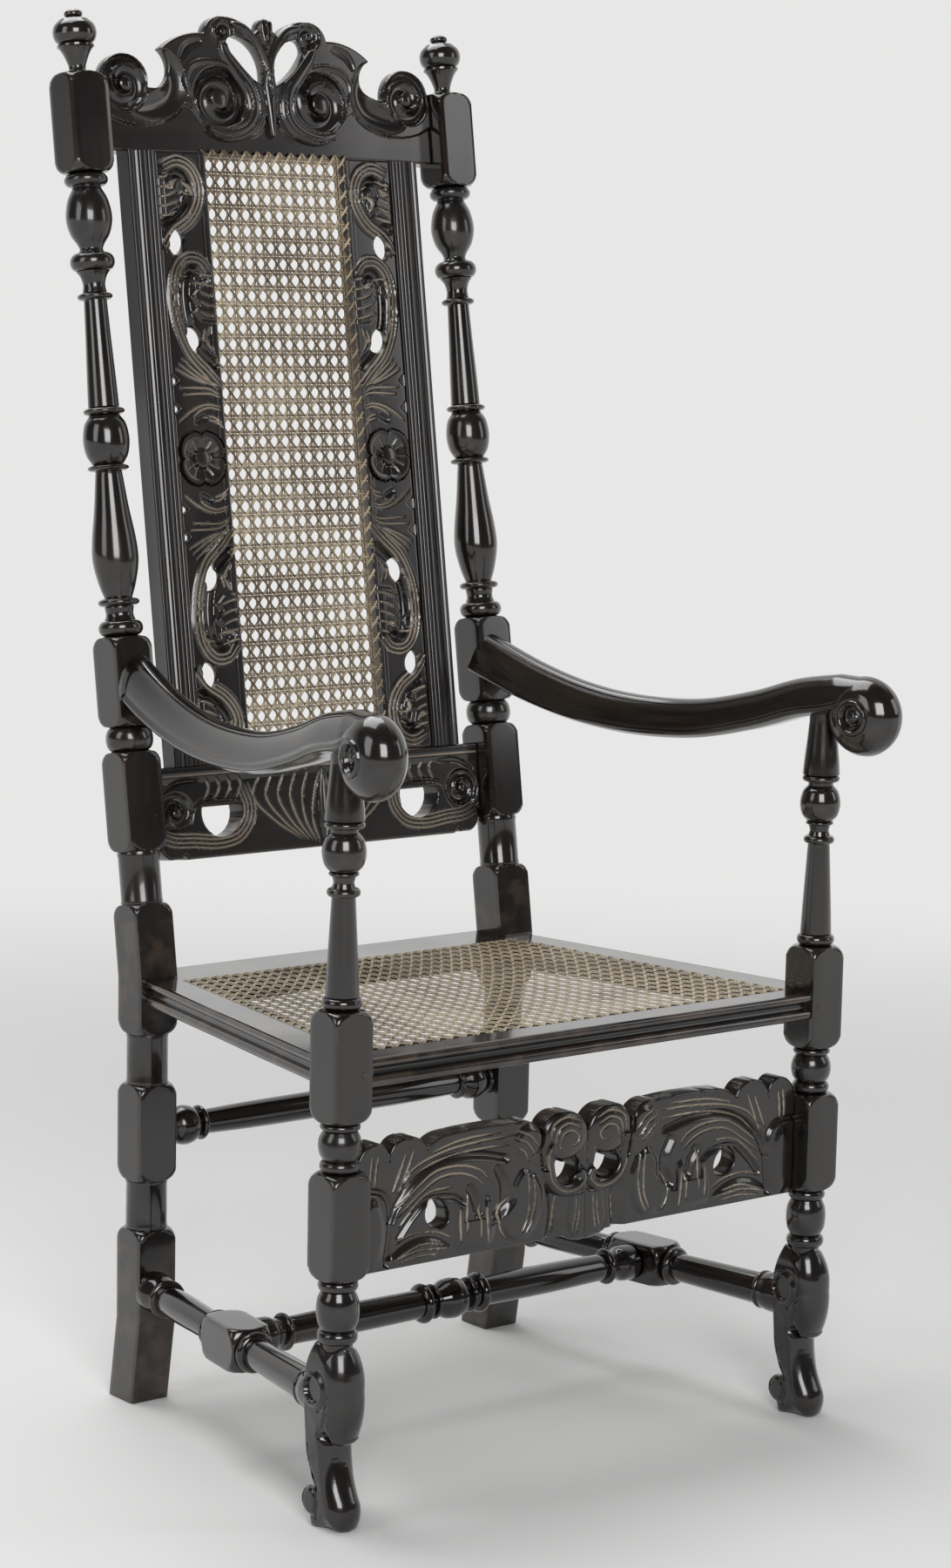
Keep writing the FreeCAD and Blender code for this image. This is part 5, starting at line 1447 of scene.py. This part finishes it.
def lay(name, strands, place, node):
    """Turn ribbons on a sheet into one mesh piece on the chair."""
    points, faces, aged_and_shaded, count = [], [], [], 0
    for rows, age_and_shade in strands:
        points.append(place(*np.moveaxis(rows, -1, 0)).reshape(-1, 3))
        faces += (np.array(grid_faces(len(rows), 4)) + count).tolist()
        # Each strand gets painted shade on its sides and underside and painted light on its top.
        aged_and_shaded.append(unit(age_and_shade[:, None] + EDGE_SHADE).ravel())
        count += len(rows) * 4
    item = piece(name, np.vstack(points), faces, CANE, "cane", node, sharp=math.radians(60))
    keep_mask(item, "aged_and_shaded", np.concatenate(aged_and_shaded))
    print(name, "strands", len(strands))


print("weaving helpers ready")

# %% [markdown]
# The back panel is woven a little closer across than up. Its strands are painted darker where they dip
# under others, as the shade that falls there.

# %% Back panel of cane
PITCH = 13.85
ROW_PITCH = 16.4
TUCKED = 4.5
PANEL_SUNK = 0.6
BACK_HALF = UPRIGHT_INNER + TUCKED


def on_back(x, y, height):
    return lean(x - BACK_HALF, BACK_FACE + PANEL_SUNK - height, LOW_RAIL_TOP - TUCKED + y)


# The back panel's strands are painted a little darker than the seat's.
back_strands = weave(2 * BACK_HALF, PANEL_TALL + 2 * TUCKED, PITCH, ROW_PITCH, wander=0.12, shade=0.15)
lay("back_cane_woven", back_strands, on_back, "back_cane")

# %% [markdown]
# The seat is wider in front than behind, so the same sheet is squeezed towards the back. It is painted
# paler than the back panel, as the light that falls on it from above, and it hangs a little in the middle.

# %% Seat of cane
SEAT_PITCH = 15.8
SEAT_SAG = 5
SEAT_LIFT = 0.4
SIDE_SPLAY = 63
SEAT_TAPER = SIDE_SPLAY / POST_DEPTH
seat_low, seat_high = node_box("seat_cane")
SEAT_DEEP = seat_high[1] - seat_low[1]
SEAT_NEAR = (seat_high[0] - seat_low[0]) / 2


def on_seat(x, y, height):
    """The sheet narrows towards the back, and years of sitting let its middle hang a little."""
    across = (x / SEAT_NEAR - 1) * (SEAT_NEAR - SEAT_TAPER * y)
    sag = np.sin(math.pi * unit(y / SEAT_DEEP)) * np.sin(math.pi * unit(x / (2 * SEAT_NEAR)))
    return np.stack([across, seat_low[1] + y, SEAT + SEAT_LIFT + height - SEAT_SAG * sag], axis=-1)


# The seat is painted paler, as light falling on it from above.
seat_strands = weave(2 * SEAT_NEAR, SEAT_DEEP, SEAT_PITCH, SEAT_PITCH, wander=0.15, shade=-0.35)
lay("seat_cane_woven", seat_strands, on_seat, "seat_cane")

# %% [markdown]
# ## Stage and light
# The floor is a wide pale disc. Near the chair it is a plain matt surface that takes the shadow; further
# out it fades into the same pale grey as the world behind, so no horizon shows.

# %% Floor
PALE = (0.80, 0.80, 0.795, 1)
FLOOR_RADII = (0.0, 1.0, 3.0, 8.0, 30.0)
FLOOR_SIDES = 96
FLOOR_DROP = 0.0004
FADE_RANGE = (0.9, 3.2)


def mix_shaders(tree, factor, first, second, output):
    """Show the first shader where the factor is 0 and the second where it is 1."""
    mixed = add_node(tree, "ShaderNodeMixShader", Fac=factor)
    for number, shader in ((1, first), (2, second)):
        tree.links.new(shader.outputs[0], mixed.inputs[number])
    tree.links.new(mixed.outputs[0], tree.nodes[output].inputs[0])


def make_floor():
    turns = np.arange(FLOOR_SIDES) * 2 * math.pi / FLOOR_SIDES
    rings = [(radius * np.cos(turns), radius * np.sin(turns), np.full(FLOOR_SIDES, -FLOOR_DROP))
             for radius in FLOOR_RADII]
    points = np.concatenate(rings, axis=1).T
    mesh = bpy.data.meshes.new("floor")
    mesh.from_pydata(points.tolist(), [], grid_faces(len(FLOOR_RADII), FLOOR_SIDES))
    floor = into_scene("floor", mesh)
    material, tree, _ = new_material("floor_paper")
    tree.nodes.remove(tree.nodes["Principled BSDF"])
    matt = add_node(tree, "ShaderNodeBsdfDiffuse", Color=PALE)
    glow = add_node(tree, "ShaderNodeEmission", Color=PALE, Strength=1.0)
    distance = math_node(tree, "LENGTH", object_place(tree), kind="VectorMath", output="Value")
    mix_shaders(tree, ramp(tree, distance, *FADE_RANGE), matt, glow, "Material Output")
    mesh.materials.append(material)
    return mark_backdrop(floor)


make_floor()
print("floor", 2 * FLOOR_RADII[-1], "m across")

# %% [markdown]
# The world is a pale wall behind the chair and a dim room in front of it, so that polished wood has
# something to mirror. The camera sees only the pale grey, whichever way it looks.

# %% World
BACKDROP = (0.61, 0.78, 0.12)
BEHIND_RANGE = (0.15, 0.8)
ROOM_LEVEL = 0.11
WALL_LEVEL = 0.7


def make_world():
    world = bpy.data.worlds.new("studio")
    world.use_nodes = True
    tree = world.node_tree
    plain = tree.nodes["Background"]
    plain.inputs["Color"].default_value = (1, 1, 1, 1)
    way = add_node(tree, "ShaderNodeTexCoord").outputs["Generated"]
    toward = math_node(tree, "DOT_PRODUCT", way, BACKDROP, "VectorMath", "Value")
    behind = ramp(tree, toward, *BEHIND_RANGE)
    tree.links.new(ramp(tree, behind, 0, 1, ROOM_LEVEL, WALL_LEVEL), plain.inputs["Strength"])
    seen = add_node(tree, "ShaderNodeBackground", Color=PALE, Strength=1.0)
    path = add_node(tree, "ShaderNodeLightPath").outputs
    mirrored = math_node(tree, "MULTIPLY", path["Is Glossy Ray"], behind)
    straight = math_node(tree, "MAXIMUM", path["Is Camera Ray"], path["Is Transmission Ray"])
    mix_shaders(tree, math_node(tree, "MAXIMUM", straight, mirrored), plain, seen, "World Output")
    return world


bpy.context.scene.world = make_world()
bpy.context.scene.view_settings.view_transform = "Standard"
print("world", bpy.context.scene.world.name)

# %% [markdown]
# One very large soft lamp stands beside the camera, as a window would: it draws the broad bright streak
# down every turning. A narrow one on the right and one on the left show the sides, and one overhead lifts
# the seat and arms.

# %% Lamps
AIM = Vector((0, 0, 0.62))
LAMPS = {
    "window": ((-1.8, -3.1, 2.1), (1.8, 1.9), 84),
    "side": ((2.7, -2.3, 1.9), (0.9, 1.8), 10),
    "fill": ((-3.2, 0.1, 1.9), (1.2, 2.0), 19),
    "top": ((-0.2, 1.0, 3.3), (2.4, 2.0), 58),
}
for name, (place, size, power) in LAMPS.items():
    lamp = bpy.data.lights.new(name, "AREA")
    lamp.shape = "RECTANGLE"
    lamp.size, lamp.size_y = size
    lamp.energy = power
    item = into_scene(name, lamp)
    item.location = place
    item.rotation_euler = (AIM - Vector(place)).to_track_quat("-Z", "Y").to_euler()
print("lamps:", ", ".join(LAMPS))
